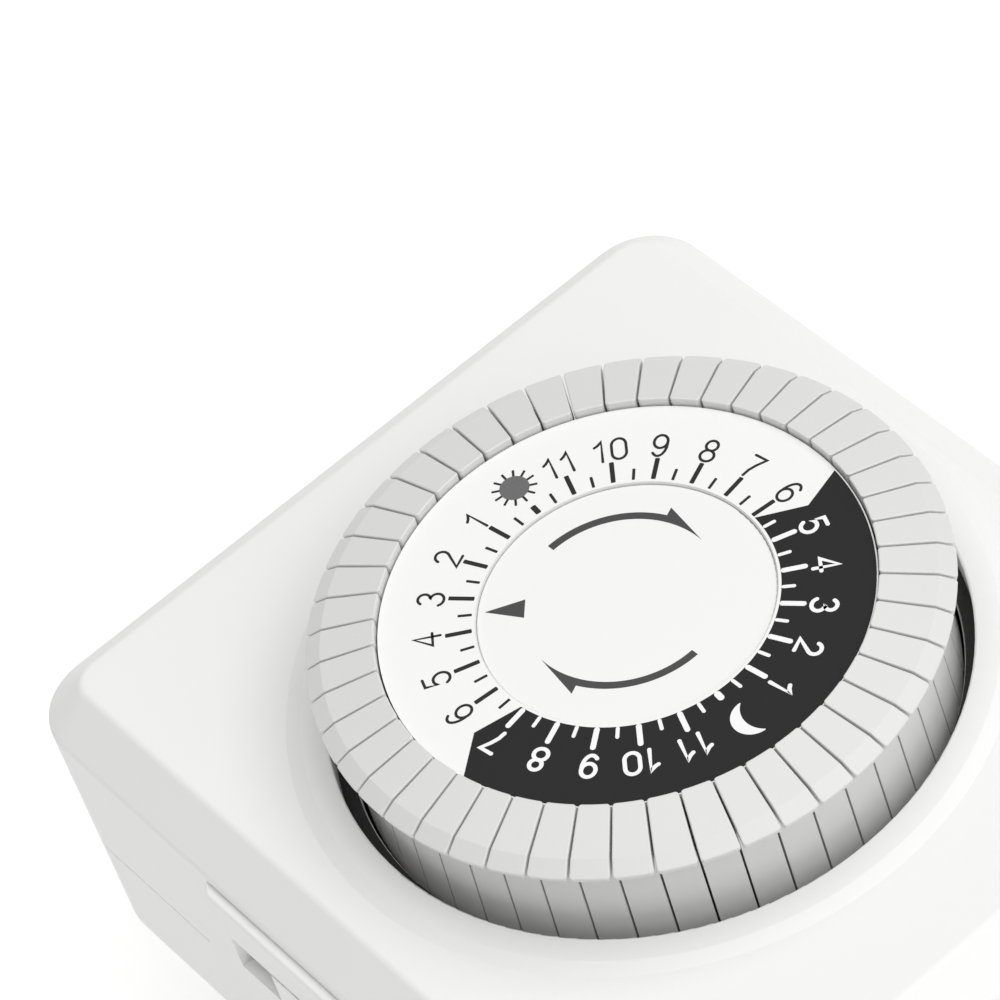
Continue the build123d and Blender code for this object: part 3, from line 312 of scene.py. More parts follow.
def moulded_plastic(name, tone, roughness, ior, grain, depth, mottle):
    """Plastic from a mould whose surface has a grain of that size and depth in millimetres."""
    material, tree = blank(name)
    spot = add(tree, "ShaderNodeTexCoord")
    cloud = add(
        tree,
        "ShaderNodeTexNoise",
        {"Scale": per_metre(CLOUD), "Detail": 3.0, "Roughness": 0.55},
        {"Vector": (spot, "Object")},
    )
    tint = add(tree, "ShaderNodeMix", shades(tone, mottle), {"Factor": (cloud, "Fac")})
    eroded = add(
        tree,
        "ShaderNodeTexNoise",
        {"Scale": per_metre(grain), "Detail": 2.0, "Roughness": 0.6},
        {"Vector": (spot, "Object")},
    )
    relief = add(
        tree,
        "ShaderNodeBump",
        {"Strength": 1.0, "Distance": depth * MM},
        {"Height": (eroded, "Fac")},
    )
    shader = add(
        tree,
        "ShaderNodeBsdfPrincipled",
        {"Roughness": roughness, "IOR": ior},
        {"Base Color": (tint, MIXED), "Normal": (relief, "Normal")},
    )
    add(tree, "ShaderNodeOutputMaterial", links={"Surface": (shader, "BSDF")})
    return material


def spark_eroded_abs(settings):
    """White ABS from a spark-eroded mould."""
    # An even, soft sheen with no clear reflections; the 0.1 mm grain is drawn at 0.3 mm to show.
    return moulded_plastic(
        "abs_spark_eroded_white",
        settings.case,
        roughness=settings.case_roughness,
        ior=ABS_IOR,
        grain=0.3,
        depth=0.0012,
        mottle=0.006,
    )


def semi_polished_abs(settings):
    """Greyish-white ABS from a stoned, half-polished mould."""
    # Smoother than the case, so the segments' rounded edges catch a thin light line; the
    # stone's 0.05 mm marks are drawn at 0.5 mm to show.
    return moulded_plastic(
        "abs_semi_polished_grey",
        settings.tappet,
        roughness=settings.tappet_roughness,
        ior=ABS_IOR,
        grain=0.5,
        depth=0.0008,
        mottle=0.012,
    )


def satin_abs(settings):
    """White ABS from a fine satin mould, for the slider."""
    # A little glossier where a thumb pushes it; the 0.05 mm grain is drawn at 0.35 mm to show.
    return moulded_plastic(
        "abs_satin_slider",
        settings.slider,
        roughness=0.36,
        ior=ABS_IOR,
        grain=0.35,
        depth=0.001,
        mottle=0.01,
    )


def polished_abs(settings):
    """White ABS from a polished mould, for the centre cap."""
    # The flattest, cleanest white on the part, with a faint gloss under the ink; the skin
    # ripples by a hair every 0.8 mm.
    return moulded_plastic(
        "abs_polished_cap",
        settings.cap,
        roughness=0.3,
        ior=ABS_IOR,
        grain=0.8,
        depth=0.0004,
        mottle=0.004,
    )


def heat_resistant_abs(settings):
    """White heat-resistant ABS, as moulded, for the outlet block."""
    # A shade warmer and flatter than the case beside it; the 0.1 mm grain is drawn at 0.3 mm.
    return moulded_plastic(
        "abs_heat_resistant",
        settings.outlet,
        roughness=0.5,
        ior=1.55,
        grain=0.3,
        depth=0.0015,
        mottle=0.01,
    )


def moulded_acetal(settings):
    """White acetal, as moulded, for the drum and the retainer."""
    # Waxy and smooth: a broad soft highlight and no grain, only a slow ripple 1.2 mm across.
    return moulded_plastic(
        "acetal_moulded_drum",
        settings.drum,
        roughness=0.3,
        ior=ACETAL_IOR,
        grain=1.2,
        depth=0.0005,
        mottle=0.015,
    )


def natural_acetal(settings):
    """Natural acetal, as moulded, for the gears."""
    # Cream, slightly cloudy, with a waxy highlight along the teeth and a 1 mm ripple.
    return moulded_plastic(
        "acetal_natural_gear",
        settings.gear,
        roughness=0.28,
        ior=ACETAL_IOR,
        grain=1.0,
        depth=0.0006,
        mottle=0.03,
    )


def glass_filled_nylon(settings):
    """Grey glass-filled nylon, as moulded, for the gear plate and the follower."""
    # Fibres 0.25 mm long near the skin leave fine, cloudy streaks and a dull surface.
    return moulded_plastic(
        "nylon_glass_filled",
        settings.plate,
        roughness=0.55,
        ior=1.53,
        grain=0.25,
        depth=0.003,
        mottle=0.1,
    )


def open_cell_foam(settings):
    """A charcoal matt material with a bump of cells, painted shade for the bottom of the dial's
    well.
    """
    # Matt, with a bump of cells 0.5 mm wide; the charcoal tone is painted shade, so the well looks
    # deep.
    material, tree = blank("painted_shade_charcoal")
    spot = add(tree, "ShaderNodeTexCoord")
    cells = add(
        tree,
        "ShaderNodeTexVoronoi",
        {"Scale": per_metre(0.5)},
        {"Vector": (spot, "Object")},
    )
    relief = add(
        tree,
        "ShaderNodeBump",
        {"Strength": 1.0, "Distance": 0.08 * MM},
        {"Height": (cells, "Distance")},
    )
    shader = add(
        tree,
        "ShaderNodeBsdfPrincipled",
        {
            "Base Color": settings.seal,
            "Roughness": 0.9,
            "IOR": 1.5,
            "Specular IOR Level": 0.2,
        },
        {"Normal": (relief, "Normal")},
    )
    add(tree, "ShaderNodeOutputMaterial", links={"Surface": (shader, "BSDF")})
    return material


def coated_paper(settings):
    """Clay-coated white paper with a clear film, for the dial label."""
    # Flat and bright, with the broad sheen of the film and paper fibres about 0.4 mm long.
    material, tree = blank("paper_coated_label")
    spot = add(tree, "ShaderNodeTexCoord")
    fibre = add(
        tree,
        "ShaderNodeTexNoise",
        {"Scale": per_metre(0.4), "Detail": 4.0},
        {"Vector": (spot, "Object")},
    )
    tint = add(tree, "ShaderNodeMix", shades(settings.label, 0.008), {"Factor": (fibre, "Fac")})
    relief = add(
        tree,
        "ShaderNodeBump",
        {"Strength": 1.0, "Distance": 0.0006 * MM},
        {"Height": (fibre, "Fac")},
    )
    shader = add(
        tree,
        "ShaderNodeBsdfPrincipled",
        {"Roughness": 0.42, "IOR": 1.5},
        {"Base Color": (tint, MIXED), "Normal": (relief, "Normal")},
    )
    add(tree, "ShaderNodeOutputMaterial", links={"Surface": (shader, "BSDF")})
    return material


def printing_ink(name, tone):
    """Ink laid down by offset or pad printing."""
    # A thin, even, matt film; its 0.2 mm speckle keeps large black areas from looking flat.
    return matt_layer(name, tone)


def cut_paper(settings):
    """The label's paper where the die cut it, greyed partly as painted shade of the step down to
    the cap.
    """
    # Greyer and duller than the coated face, partly the paper's own tone and partly painted shade,
    # with specks of fibre 0.2 mm across.
    return matt_layer("paper_cut_edge_and_shade", settings.edge)


def matt_layer(name, tone):
    """A thin matt layer with a faint speckle of 0.2 mm."""
    material, tree = blank(name)
    spot = add(tree, "ShaderNodeTexCoord")
    speckle = add(
        tree,
        "ShaderNodeTexNoise",
        {"Scale": per_metre(0.2), "Detail": 2.0},
        {"Vector": (spot, "Object")},
    )
    tint = add(tree, "ShaderNodeMix", shades(tone, 0.06), {"Factor": (speckle, "Fac")})
    shader = add(
        tree,
        "ShaderNodeBsdfPrincipled",
        {"Roughness": 0.5, "IOR": 1.5, "Specular IOR Level": 0.3},
        {"Base Color": (tint, MIXED)},
    )
    add(tree, "ShaderNodeOutputMaterial", links={"Surface": (shader, "BSDF")})
    return material


def worked_metal(name, tone, roughness, pitch, stretch, depth):
    """Metal with lines of the given pitch in millimetres, stretched along X, Y or Z."""
    material, tree = blank(name)
    spot = add(tree, "ShaderNodeTexCoord")
    along = add(
        tree,
        "ShaderNodeMapping",
        {"Scale": stretch},
        {"Vector": (spot, "Object")},
    )
    lines = add(
        tree,
        "ShaderNodeTexNoise",
        {"Scale": per_metre(pitch), "Detail": 2.0, "Roughness": 0.5},
        {"Vector": (along, "Vector")},
    )
    tint = add(tree, "ShaderNodeMix", shades(tone, 0.05), {"Factor": (lines, "Fac")})
    relief = add(
        tree,
        "ShaderNodeBump",
        {"Strength": 1.0, "Distance": depth * MM},
        {"Height": (lines, "Fac")},
    )
    shader = add(
        tree,
        "ShaderNodeBsdfPrincipled",
        {"Metallic": 1.0, "Roughness": roughness},
        {"Base Color": (tint, MIXED), "Normal": (relief, "Normal")},
    )
    add(tree, "ShaderNodeOutputMaterial", links={"Surface": (shader, "BSDF")})
    return material


def zinc_plated_steel(settings):
    """Bright zinc-plated steel, drawn and barrel-plated, for screws, pins and the spring."""
    # A cool bright metal, clouded by the tumbling; the 0.2 mm marks are drawn at 0.6 mm to show.
    return worked_metal(
        "steel_zinc_plated",
        settings.steel,
        roughness=0.32,
        pitch=0.6,
        stretch=(1, 1, 1),
        depth=0.001,
    )


def nickel_plated_steel(settings):
    """Deep-drawn, nickel-plated steel for the motor can."""
    # Faint draw lines run up the can's wall; they are drawn 0.4 mm apart to show.
    return worked_metal(
        "steel_nickel_can",
        settings.motor,
        roughness=0.34,
        pitch=0.4,
        stretch=(1, 1, 0.05),
        depth=0.002,
    )


def stamped_brass(settings):
    """Brass strip, rolled and stamped, for blades, contacts and straps."""
    # Rolling lines give a soft streak along the strip; they are drawn 0.3 mm apart to show.
    return worked_metal(
        "brass_stamped_strip",
        settings.brass,
        roughness=0.3,
        pitch=0.3,
        stretch=(1, 0.08, 0.3),
        depth=0.0015,
    )


def enamelled_copper(settings):
    """Enamelled copper wire in layers, for the motor's coil."""
    # Turns of 0.2 mm wire are drawn 0.4 mm apart, so that the winding shows.
    material, tree = blank("copper_enamelled_coil")
    spot = add(tree, "ShaderNodeTexCoord")
    turns = add(
        tree,
        "ShaderNodeTexWave",
        {
            "wave_type": "BANDS",
            "bands_direction": "Z",
            "Scale": per_metre(0.4) / (2 * pi),
            "Distortion": 0.2,
        },
        {"Vector": (spot, "Object")},
    )
    tint = add(tree, "ShaderNodeMix", shades(settings.copper, 0.25), {"Factor": (turns, "Fac")})
    relief = add(
        tree,
        "ShaderNodeBump",
        {"Strength": 1.0, "Distance": 0.06 * MM},
        {"Height": (turns, "Fac")},
    )
    shader = add(
        tree,
        "ShaderNodeBsdfPrincipled",
        {"Metallic": 0.85, "Roughness": 0.3, "Coat Weight": 0.6, "Coat Roughness": 0.15},
        {"Base Color": (tint, MIXED), "Normal": (relief, "Normal")},
    )
    add(tree, "ShaderNodeOutputMaterial", links={"Surface": (shader, "BSDF")})
    return material


def lit_floor(settings):
    """A pale matt sheet lit from below, as a product table is."""
    # White, with a faint shadow and no reflections; its cloud is 400 mm across.
    material, tree = blank("floor_pale_sheet")
    spot = add(tree, "ShaderNodeTexCoord")
    cloud = add(
        tree,
        "ShaderNodeTexNoise",
        {"Scale": per_metre(400)},
        {"Vector": (spot, "Object")},
    )
    tint = add(
        tree, "ShaderNodeMix", shades(settings.floor_tone, 0.004), {"Factor": (cloud, "Fac")}
    )
    shader = add(
        tree,
        "ShaderNodeBsdfPrincipled",
        {
            "Roughness": 0.9,
            "Specular IOR Level": 0.1,
            "Emission Color": (1.0, 1.0, 1.0, 1.0),
            "Emission Strength": settings.floor_glow,
        },
        {"Base Color": (tint, MIXED)},
    )
    add(tree, "ShaderNodeOutputMaterial", links={"Surface": (shader, "BSDF")})
    return material


# ---- Mesh work --------------------------------------------------------------------------


def polar(radius, turn):
    """The point at that radius and angle round the dial's axis."""
    return (radius * cos(turn), radius * sin(turn))


def arc(centre, radii, first, last, steps):
    """Points along an ellipse's arc, from one angle to another in degrees."""
    return [
        (
            centre[0] + radii[0] * cos(radians(first + (last - first) * i / steps)),
            centre[1] + radii[1] * sin(radians(first + (last - first) * i / steps)),
        )
        for i in range(steps + 1)
    ]


def ribbon(points, width, closed=False, blunt=False, cap_steps=5):
    """The two edges of a line of that width, with round or blunt ends."""
    bulge = BLUNT if blunt else 1.0
    count = len(points)
    left, right = [], []
    for i, (x, y) in enumerate(points):
        before = points[i - 1] if i or closed else points[i]
        after = points[(i + 1) % count] if i + 1 < count or closed else points[i]
        steps = [(x - before[0], y - before[1]), (after[0] - x, after[1] - y)]
        steps = [(a / hypot(a, b), b / hypot(a, b)) for a, b in steps if hypot(a, b) > 0]
        along = [sum(step[k] for step in steps) for k in (0, 1)]
        size = hypot(*along)
        along = (along[0] / size, along[1] / size)
        bend = along[0] * steps[0][0] + along[1] * steps[0][1]
        reach = width / 2 / max(bend, MITRE)
        ends = [] if closed else [sign for sign, at in ((-1, 0), (1, count - 1)) if at == i]
        rounds = [(0.0, 1.0)]
        if ends:
            turns = [pi / 2 * k / cap_steps for k in range(cap_steps)]
            rounds = [(ends[0] * sin(turn), cos(turn)) for turn in turns]
            rounds.append((ends[0], TIP))
            rounds = rounds[::-1] if ends[0] < 0 else rounds
        for ahead, aside in rounds:
            centre = tuple((x, y)[k] + along[k] * ahead * bulge * width / 2 for k in (0, 1))
            across = (-along[1] * reach * aside, along[0] * reach * aside)
            left.append((centre[0] + across[0], centre[1] + across[1]))
            right.append((centre[0] - across[0], centre[1] - across[1]))
    return left, right, closed


def disc(centre, radius, steps=48, open_end=2):
    """The two edges of a filled circle, a small angle short of meeting at each end."""
    left = arc(centre, (radius, radius), 180 - open_end, open_end, steps // 2)
    right = arc(centre, (radius, radius), 180 + open_end, 360 - open_end, steps // 2)
    return left, right, False


def ring(outer, inner, steps=240):
    """The two edges of a ring round the dial's axis."""
    turns = [2 * pi * i / steps for i in range(steps)]
    return [polar(outer, turn) for turn in turns], [polar(inner, turn) for turn in turns], True


def film(name, strips, low, high, material, body, slot=None):
    """A piece made of thin closed strips between two heights, riding on a body."""
    mesh = bmesh.new()
    for layer, (left, right, closed) in enumerate(strips):
        levels = (low, high + layer * LAYER)
        rows = [
            [mesh.verts.new((*point, level)) for point in (a, b) for level in levels]
            for a, b in zip(left, right)
        ]
        count = len(rows)
        for i in range(count if closed else count - 1):
            a, b = rows[i], rows[(i + 1) % count]
            for first, second in ((0, 1), (1, 3), (3, 2), (2, 0)):
                mesh.faces.new((a[first], a[second], b[second], b[first]))
        if not closed:
            for end in (rows[0], rows[-1]):
                mesh.faces.new((end[0], end[1], end[3], end[2]))
    bmesh.ops.recalc_face_normals(mesh, faces=mesh.faces)
    data = bpy.data.meshes.new(name)
    mesh.to_mesh(data)
    mesh.free()
    piece = bpy.data.objects.new(name, data)
    bpy.context.scene.collection.objects.link(piece)
    data.materials.append(material)
    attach(piece, body)


def paint(material, names):
    """Gives CAD pieces their material."""
    for name in names:
        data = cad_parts[name].data
        data.materials.clear()
        data.materials.append(material)


# Numbers drawn in a cell one wide and two high, each a list of (points, closed).
GLYPHS = {
    "0": [
        (arc((0.5, 1.4), (0.5, 0.6), 0, 180, 12) + arc((0.5, 0.6), (0.5, 0.6), 180, 360, 12), True)
    ],
    "1": [([(0.1, 1.5), (0.32, 1.64), (0.52, 1.86), (0.6, 2.0), (0.6, 0.0)], False)],
    "2": [(arc((0.5, 1.46), (0.46, 0.54), 168, -38, 14) + [(0.02, 0.0), (1.0, 0.0)], False)],
    "3": [
        (
            arc((0.47, 1.52), (0.43, 0.48), 155, -78, 12)
            + arc((0.47, 0.54), (0.51, 0.54), 78, -158, 14),
            False,
        )
    ],
    "4": [([(0.76, 0.0), (0.76, 2.0), (0.0, 0.6), (1.06, 0.6)], False)],
    "5": [
        (
            [(0.92, 2.0), (0.24, 2.0), (0.1, 1.06)]
            + arc((0.47, 0.64), (0.52, 0.64), 132, -155, 14),
            False,
        )
    ],
    "6": [
        (arc((0.52, 0.62), (0.48, 0.62), 0, 360, 20)[:-1], True),
        (arc((0.58, 0.9), (0.54, 1.1), 48, 190, 12), False),
    ],
    "7": [([(0.02, 2.0), (0.98, 2.0), (0.6, 1.2), (0.4, 0.6), (0.34, 0.0)], False)],
    "8": [
        (arc((0.5, 1.52), (0.42, 0.48), 0, 360, 18)[:-1], True),
        (arc((0.5, 0.53), (0.49, 0.53), 0, 360, 20)[:-1], True),
    ],
    "9": [
        (arc((0.48, 1.38), (0.48, 0.62), 0, 360, 20)[:-1], True),
        (arc((0.42, 1.1), (0.54, 1.1), 228, 370, 12), False),
    ],
}


def on_dial(settings, hour):
    """The angle of an hour after noon."""
    return settings.noon + 2 * pi * hour / HOURS


def lettering(settings, text, hour, stroke):
    """The strips of a number whose head points outward at an hour."""
    turn = on_dial(settings, hour)
    outward, rightward = (cos(turn), sin(turn)), (sin(turn), -cos(turn))
    step = settings.digit_width + settings.digit_space
    left = -(len(text) * step - settings.digit_space) / 2
    rise = (settings.digit_high - settings.digit_low - stroke) / 2
    strips = []
    for i, digit in enumerate(text):
        for points, closed in GLYPHS[digit]:
            placed = []
            for u, v in points:
                up = settings.digit_low + stroke / 2 + v * rise
                across = left + i * step + u * settings.digit_width
                x, y = (outward[k] * up + rightward[k] * across for k in (0, 1))
                placed.append((x + settings.number_shift_x, y - settings.number_shift_y))
            strips.append(ribbon(placed, stroke, closed))
    return strips


def marks(settings, night):
    """The strips of the hour and half-hour marks, on the night sector or off it."""
    strips = []
    for half in range(2 * HOURS):
        if (half // 2 in NIGHT) != night:
            continue
        whole = half % 2 == 0
        end = settings.hour_tick if whole else settings.half_tick
        width = settings.hour_width if whole else settings.half_width
        if half % HOURS == 0:
            end, width = settings.noon_tick, settings.noon_width
        if night:
            width += settings.reverse_gain
        turn = on_dial(settings, half / 2)
        tuck = width / 2 if night else BLUNT * width / 2
        ends = (settings.ring_inner + tuck, end - tuck)
        strips.append(ribbon([polar(radius, turn) for radius in ends], width, blunt=not night))
    return strips


def straight(first, last, steps):
    """Points along a straight line."""
    shares = [i / steps for i in range(steps + 1)]
    return [tuple(first[k] + (last[k] - first[k]) * share for k in (0, 1)) for share in shares]


def crescent(settings):
    """The two edges of the moon, whose horns point toward the later hours."""
    midnight = on_dial(settings, HOURS / 2)
    outward, later = (cos(midnight), sin(midnight)), (-sin(midnight), cos(midnight))
    radius, bite, shift = settings.moon_radius, settings.bite_radius, settings.bite_shift
    horn = (shift**2 + radius**2 - bite**2) / (2 * shift)
    rise = degrees(asin(horn / radius))
    dip = degrees(asin((shift - horn) / bite))
    centre = (settings.moon_place, settings.moon_side)
    outer = arc(centre, (radius, radius), 180 - rise, 360 + rise, 48)
    inner = arc((centre[0], centre[1] + shift), (bite, bite), 180 + dip, 360 - dip, 48)
    edges = [
        [tuple(outward[k] * u + later[k] * v for k in (0, 1)) for u, v in edge]
        for edge in (outer, inner)
    ]
    return edges[0][1:-1], edges[1][1:-1], False


def softbox(name, energy, side, centre):
    """A square area light, facing the timer."""
    light = bpy.data.lights.new(name, "AREA")
    light.energy = energy
    light.shape = "SQUARE"
    light.size = side
    lamp = bpy.data.objects.new(name, light)
    lamp.location = centre
    lamp.rotation_euler = lamp.location.normalized().to_track_quat("Z", "Y").to_euler()
    bpy.context.scene.collection.objects.link(lamp)


# ---- Operators --------------------------------------------------------------------------


class TIMER_OT_case(bpy.types.Operator):
    """Finish the two housings, the switch surround, the outlet block and the slider"""

    bl_idname = "timer.case"
    bl_label = "Case"

    def execute(self, context):
        settings = context.scene.timer_finish
        paint(spark_eroded_abs(settings), ["front_housing", "rear_housing", "switch_surround"])
        paint(heat_resistant_abs(settings), ["outlet_block"])
        paint(satin_abs(settings), ["override_slider"])
        return {"FINISHED"}


class TIMER_OT_dust_seal(bpy.types.Operator):
    """Lay a charcoal ring of painted shade in the bottom of the dial's well"""

    bl_idname = "timer.dust_seal"
    bl_label = "Well shade ring"

    def execute(self, context):
        settings = context.scene.timer_finish
        # Painted shade: a charcoal ring laid where the bottom of the well lies in shade.
        film(
            "well_shade_ring",
            [ring(settings.seal_outer, settings.seal_inner)],
            settings.seal_ledge,
            settings.seal_ledge + settings.seal_depth,
            open_cell_foam(settings),
            "case",
        )
        return {"FINISHED"}


class TIMER_OT_tappets(bpy.types.Operator):
    """Finish the ring of half-hour tappets"""

    bl_idname = "timer.tappets"
    bl_label = "Tappets"

    def execute(self, context):
        paint(
            semi_polished_abs(context.scene.timer_finish),
            [f"tappets_{hour:02d}h" for hour in range(HOURS)],
        )
        return {"FINISHED"}


class TIMER_OT_dial(bpy.types.Operator):
    """Finish the drum, its label and the fixed cap"""

    bl_idname = "timer.dial"
    bl_label = "Dial"

    def execute(self, context):
        settings = context.scene.timer_finish
        paint(moulded_acetal(settings), ["dial_drum", "tappet_retainer"])
        paint(coated_paper(settings), ["dial_label"])
        paint(polished_abs(settings), ["centre_cap"])
        dial = context.scene.timer_dial
        # The cut edge's grey is partly painted shade of the step between the label and the cap.
        film(
            "label_edge",
            [ring(dial.edge_outer, dial.edge_inner)],
            dial.label_top - dial.edge_depth - dial.edge_drop,
            dial.label_top - dial.edge_drop,
            cut_paper(settings),
            "dial",
            "label_print",
        )
        return {"FINISHED"}


class TIMER_OT_gears(bpy.types.Operator):
    """Finish the gear train, its plate and the follower"""

    bl_idname = "timer.gears"
    bl_label = "Gear train"

    def execute(self, context):
        settings = context.scene.timer_finish
        paint(
            natural_acetal(settings), ["dial_gear", "middle_gear", "first_gear", "motor_pinion"]
        )
        paint(glass_filled_nylon(settings), ["gear_plate", "follower_lever"])
        return {"FINISHED"}


class TIMER_OT_motor(bpy.types.Operator):
    """Finish the motor's can and coil"""

    bl_idname = "timer.motor"
    bl_label = "Motor"

    def execute(self, context):
        settings = context.scene.timer_finish
        paint(nickel_plated_steel(settings), ["motor_can"])
        paint(enamelled_copper(settings), ["motor_coil"])
        return {"FINISHED"}


class TIMER_OT_metalwork(bpy.types.Operator):
    """Finish the plug, contacts, straps, screws, pins and spring"""

    bl_idname = "timer.metalwork"
    bl_label = "Metalwork"

    def execute(self, context):
        settings = context.scene.timer_finish
        paint(
            stamped_brass(settings),
            [
                "line_blade",
                "neutral_blade",
                "ground_pin",
                "line_contact",
                "neutral_contact",
                "ground_contact",
                "line_bus",
                "load_bus",
                "neutral_strap",
                "ground_strap",
                "contact_leaf",
                "leaf_rivet",
            ],
        )
        paint(
            zinc_plated_steel(settings),
            [
                "dial_post",
                "gear_arbors",
                "follower_pin",
                "follower_spring",
                "plate_screws",
                "housing_screws",
            ],
        )
        return {"FINISHED"}


class TIMER_OT_night_sector(bpy.types.Operator):
    """Print the black night sector with its slanted ends"""

    bl_idname = "timer.night_sector"
    bl_label = "Night sector"

    def execute(self, context):
        settings = context.scene.timer_dial
        knee = (settings.ring_inner + settings.ring_outer) / 2 + settings.knee_shift
        radii = (settings.ring_inner, knee, settings.ring_outer)
        steps = 240
        edges = [
            [
                polar(radius, on_dial(settings, first + (last - first) * i / steps))
                for i in range(steps + 1)
            ]
            for radius, first, last in zip(radii, settings.dusk, settings.dawn)
        ]
        film(
            "night_sector",
            [(edges[0], edges[1], False), (edges[1], edges[2], False)],
            settings.label_top,
            settings.label_top + settings.film,
            printing_ink("ink_black_night", settings.black),
            "dial",
            "label_print",
        )
        return {"FINISHED"}


class TIMER_OT_marks(bpy.types.Operator):
    """Print the hour and half-hour marks"""

    bl_idname = "timer.marks"
    bl_label = "Hour marks"

    def execute(self, context):
        settings = context.scene.timer_dial
        top = settings.label_top + settings.film
        film(
            "day_marks",
            marks(settings, False),
            settings.label_top,
            top,
            printing_ink("ink_black_marks", settings.marks),
            "dial",
            "label_print",
        )
        film(
            "night_marks",
            marks(settings, True),
            top,
            top + settings.film,
            printing_ink("ink_white_marks", settings.white),
            "dial",
            "label_print",
        )
        return {"FINISHED"}


class TIMER_OT_numbers(bpy.types.Operator):
    """Print the hour numbers, black by day and white by night"""

    bl_idname = "timer.numbers"
    bl_label = "Hour numbers"

    def execute(self, context):
        settings = context.scene.timer_dial
        top = settings.label_top + settings.film
        day, night = [], []
        for hour in range(HOURS):
            number = hour % (HOURS // 2)
            if number == 0:
                continue
            if hour in NIGHT:
                night += lettering(settings, str(number), hour, settings.reverse_stroke)
            else:
                day += lettering(settings, str(number), hour, settings.digit_stroke)
        film(
            "day_numbers",
            day,
            settings.label_top,
            top,
            printing_ink("ink_black_numbers", settings.marks),
            "dial",
            "label_print",
        )
        film(
            "night_numbers",
            night,
            top,
            top + settings.film,
            printing_ink("ink_white_numbers", settings.white),
            "dial",
            "label_print",
        )
        return {"FINISHED"}


class TIMER_OT_sun_and_moon(bpy.types.Operator):
    """Print the sun at noon and the moon at midnight"""

    bl_idname = "timer.sun_and_moon"
    bl_label = "Sun and moon"

    def execute(self, context):
        settings = context.scene.timer_dial
        top = settings.label_top + settings.film
        centre = polar(settings.sun_place, settings.noon)
        rays = []
        for ray in range(settings.sun_rays):
            turn = 2 * pi * ray / settings.sun_rays + settings.noon
            ends = (
                settings.sun_radius - settings.ray_width,
                settings.sun_reach - settings.ray_width / 2,
            )
            points = [(centre[0] + r * cos(turn), centre[1] + r * sin(turn)) for r in ends]
            rays.append(ribbon(points, settings.ray_width, blunt=True))
        film(
            "sun_rays",
            rays,
            settings.label_top,
            top,
            printing_ink("ink_black_rays", settings.marks),
            "dial",
            "label_print",
        )
        film(
            "sun_disc",
            [disc(centre, settings.sun_radius)],
            settings.label_top,
            top + settings.film,
            printing_ink("ink_grey_sun", settings.sun_grey),
            "dial",
            "label_print",
        )
        film(
            "moon",
            [crescent(settings)],
            top,
            top + settings.film,
            printing_ink("ink_white_moon", settings.white),
            "dial",
            "label_print",
        )
        return {"FINISHED"}


class TIMER_OT_cap_print(bpy.types.Operator):
    """Print the two arrows and the time pointer on the fixed cap"""

    bl_idname = "timer.cap_print"
    bl_label = "Cap arrows and pointer"

    def execute(self, context):
        settings = context.scene.timer_cap
        centre = (-settings.shift, 0.0)
        band = straight((settings.band_start, 0.0), (settings.band_end, 0.0), 40)
        outer = [polar(settings.band_outer, turn) for turn, _ in band]
        inner = [polar(settings.band_inner, turn) for turn, _ in band]
        slope = straight(
            polar(settings.barb, settings.band_end), polar(settings.band_inner, settings.tip), 24
        )
        head_inner = [polar(settings.band_inner * HAIR, atan2(y, x)) for x, y in slope]
        strips = []
        for flip in (1, -1):
            for left, right in ((outer, inner), (slope, head_inner)):
                strips.append(
                    (
                        [(centre[0] + flip * x, centre[1] + flip * y) for x, y in left],
                        [(centre[0] + flip * x, centre[1] + flip * y) for x, y in right],
                        False,
                    )
                )
        base = [
            polar(settings.pointer_base, settings.pointer + sign * settings.pointer_spread)
            for sign in (1, -1)
        ]
        tip = polar(settings.pointer_tip, settings.pointer)
        edges = [
            [
                (centre[0] + x, centre[1] + y)
                for x, y in (
                    corner,
                    tuple(tip[k] + POINT * (corner[k] - tip[k]) for k in (0, 1)),
                )
            ]
            for corner in base
        ]
        strips.append((edges[0], edges[1], False))
        film(
            "cap_print",
            strips,
            settings.cap_top,
            settings.cap_top + settings.film,
            printing_ink("ink_grey_cap", settings.ink),
            "case",
            "cap_plastic",
        )
        return {"FINISHED"}


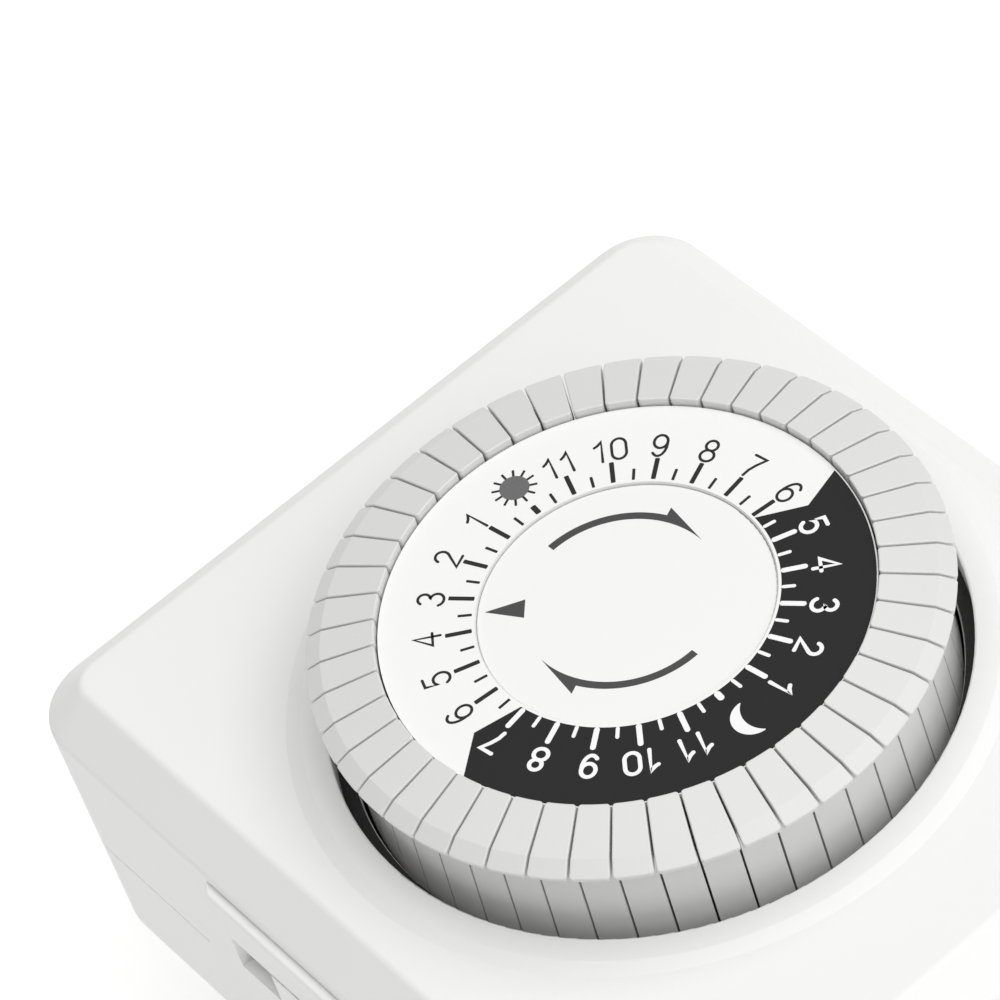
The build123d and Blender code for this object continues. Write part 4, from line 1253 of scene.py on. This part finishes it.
class TIMER_OT_stage(bpy.types.Operator):
    """Set the floor, the room, the softboxes and the camera"""

    bl_idname = "timer.stage"
    bl_label = "Stage"

    def execute(self, context):
        settings = context.scene.timer_stage
        scene = context.scene
        mesh = bmesh.new()
        bmesh.ops.create_grid(mesh, x_segments=8, y_segments=8, size=settings.floor_reach)
        data = bpy.data.meshes.new("floor")
        mesh.to_mesh(data)
        mesh.free()
        data.materials.append(lit_floor(settings))
        floor = bpy.data.objects.new("floor", data)
        floor.location.z = cad_box[0][2] - settings.floor_gap
        scene.collection.objects.link(floor)

        world = bpy.data.worlds.new("pale_room")
        world.use_nodes = True
        world.node_tree.nodes.clear()
        sky = add(
            world.node_tree,
            "ShaderNodeBackground",
            {"Color": (1.0, 1.0, 1.0, 1.0), "Strength": settings.sky},
        )
        add(
            world.node_tree, "ShaderNodeOutputWorld", links={"Surface": (sky, "Background")}
        )
        scene.world = world

        softbox("key", settings.key_power, settings.key_side, settings.key_place)
        softbox("fill", settings.fill_power, settings.fill_side, settings.fill_place)

        lens = bpy.data.cameras.new("camera")
        lens.lens = settings.lens
        lens.sensor_width = settings.sensor
        lens.shift_x, lens.shift_y = settings.shift_x, settings.shift_y
        lens.clip_start, lens.clip_end = settings.near, settings.far
        camera = bpy.data.objects.new("camera", lens)
        camera.location = settings.eye
        camera.rotation_euler = settings.tilt
        scene.collection.objects.link(camera)
        scene.camera = camera
        scene.view_settings.view_transform = "Standard"
        return {"FINISHED"}


class TIMER_PT_panel(bpy.types.Panel):
    """Lists the timer's operators and settings"""

    bl_idname = "TIMER_PT_panel"
    bl_label = "Segment timer"
    bl_space_type = "VIEW_3D"
    bl_region_type = "UI"
    bl_category = "Timer"

    def draw(self, context):
        for operator in OPERATORS:
            self.layout.operator(operator.bl_idname)
        for group in SETTINGS:
            box = self.layout.box()
            for name in SETTINGS[group].__annotations__:
                box.prop(getattr(context.scene, group), name)


OPERATORS = (
    TIMER_OT_case,
    TIMER_OT_dust_seal,
    TIMER_OT_tappets,
    TIMER_OT_dial,
    TIMER_OT_gears,
    TIMER_OT_motor,
    TIMER_OT_metalwork,
    TIMER_OT_night_sector,
    TIMER_OT_marks,
    TIMER_OT_numbers,
    TIMER_OT_sun_and_moon,
    TIMER_OT_cap_print,
    TIMER_OT_stage,
)
SETTINGS = {
    "timer_finish": TimerFinishSettings,
    "timer_dial": TimerDialSettings,
    "timer_cap": TimerCapSettings,
    "timer_stage": TimerStageSettings,
}


def register():
    for made in (*SETTINGS.values(), *OPERATORS, TIMER_PT_panel):
        bpy.utils.register_class(made)
    for group, kind in SETTINGS.items():
        setattr(bpy.types.Scene, group, PointerProperty(type=kind))


def unregister():
    for group in SETTINGS:
        delattr(bpy.types.Scene, group)
    for made in (TIMER_PT_panel, *reversed(OPERATORS), *reversed(SETTINGS.values())):
        bpy.utils.unregister_class(made)


def main():
    register()
    for operator in OPERATORS:
        group, name = operator.bl_idname.split(".")
        getattr(getattr(bpy.ops, group), name)()


if __name__ == "__main__":
    main()
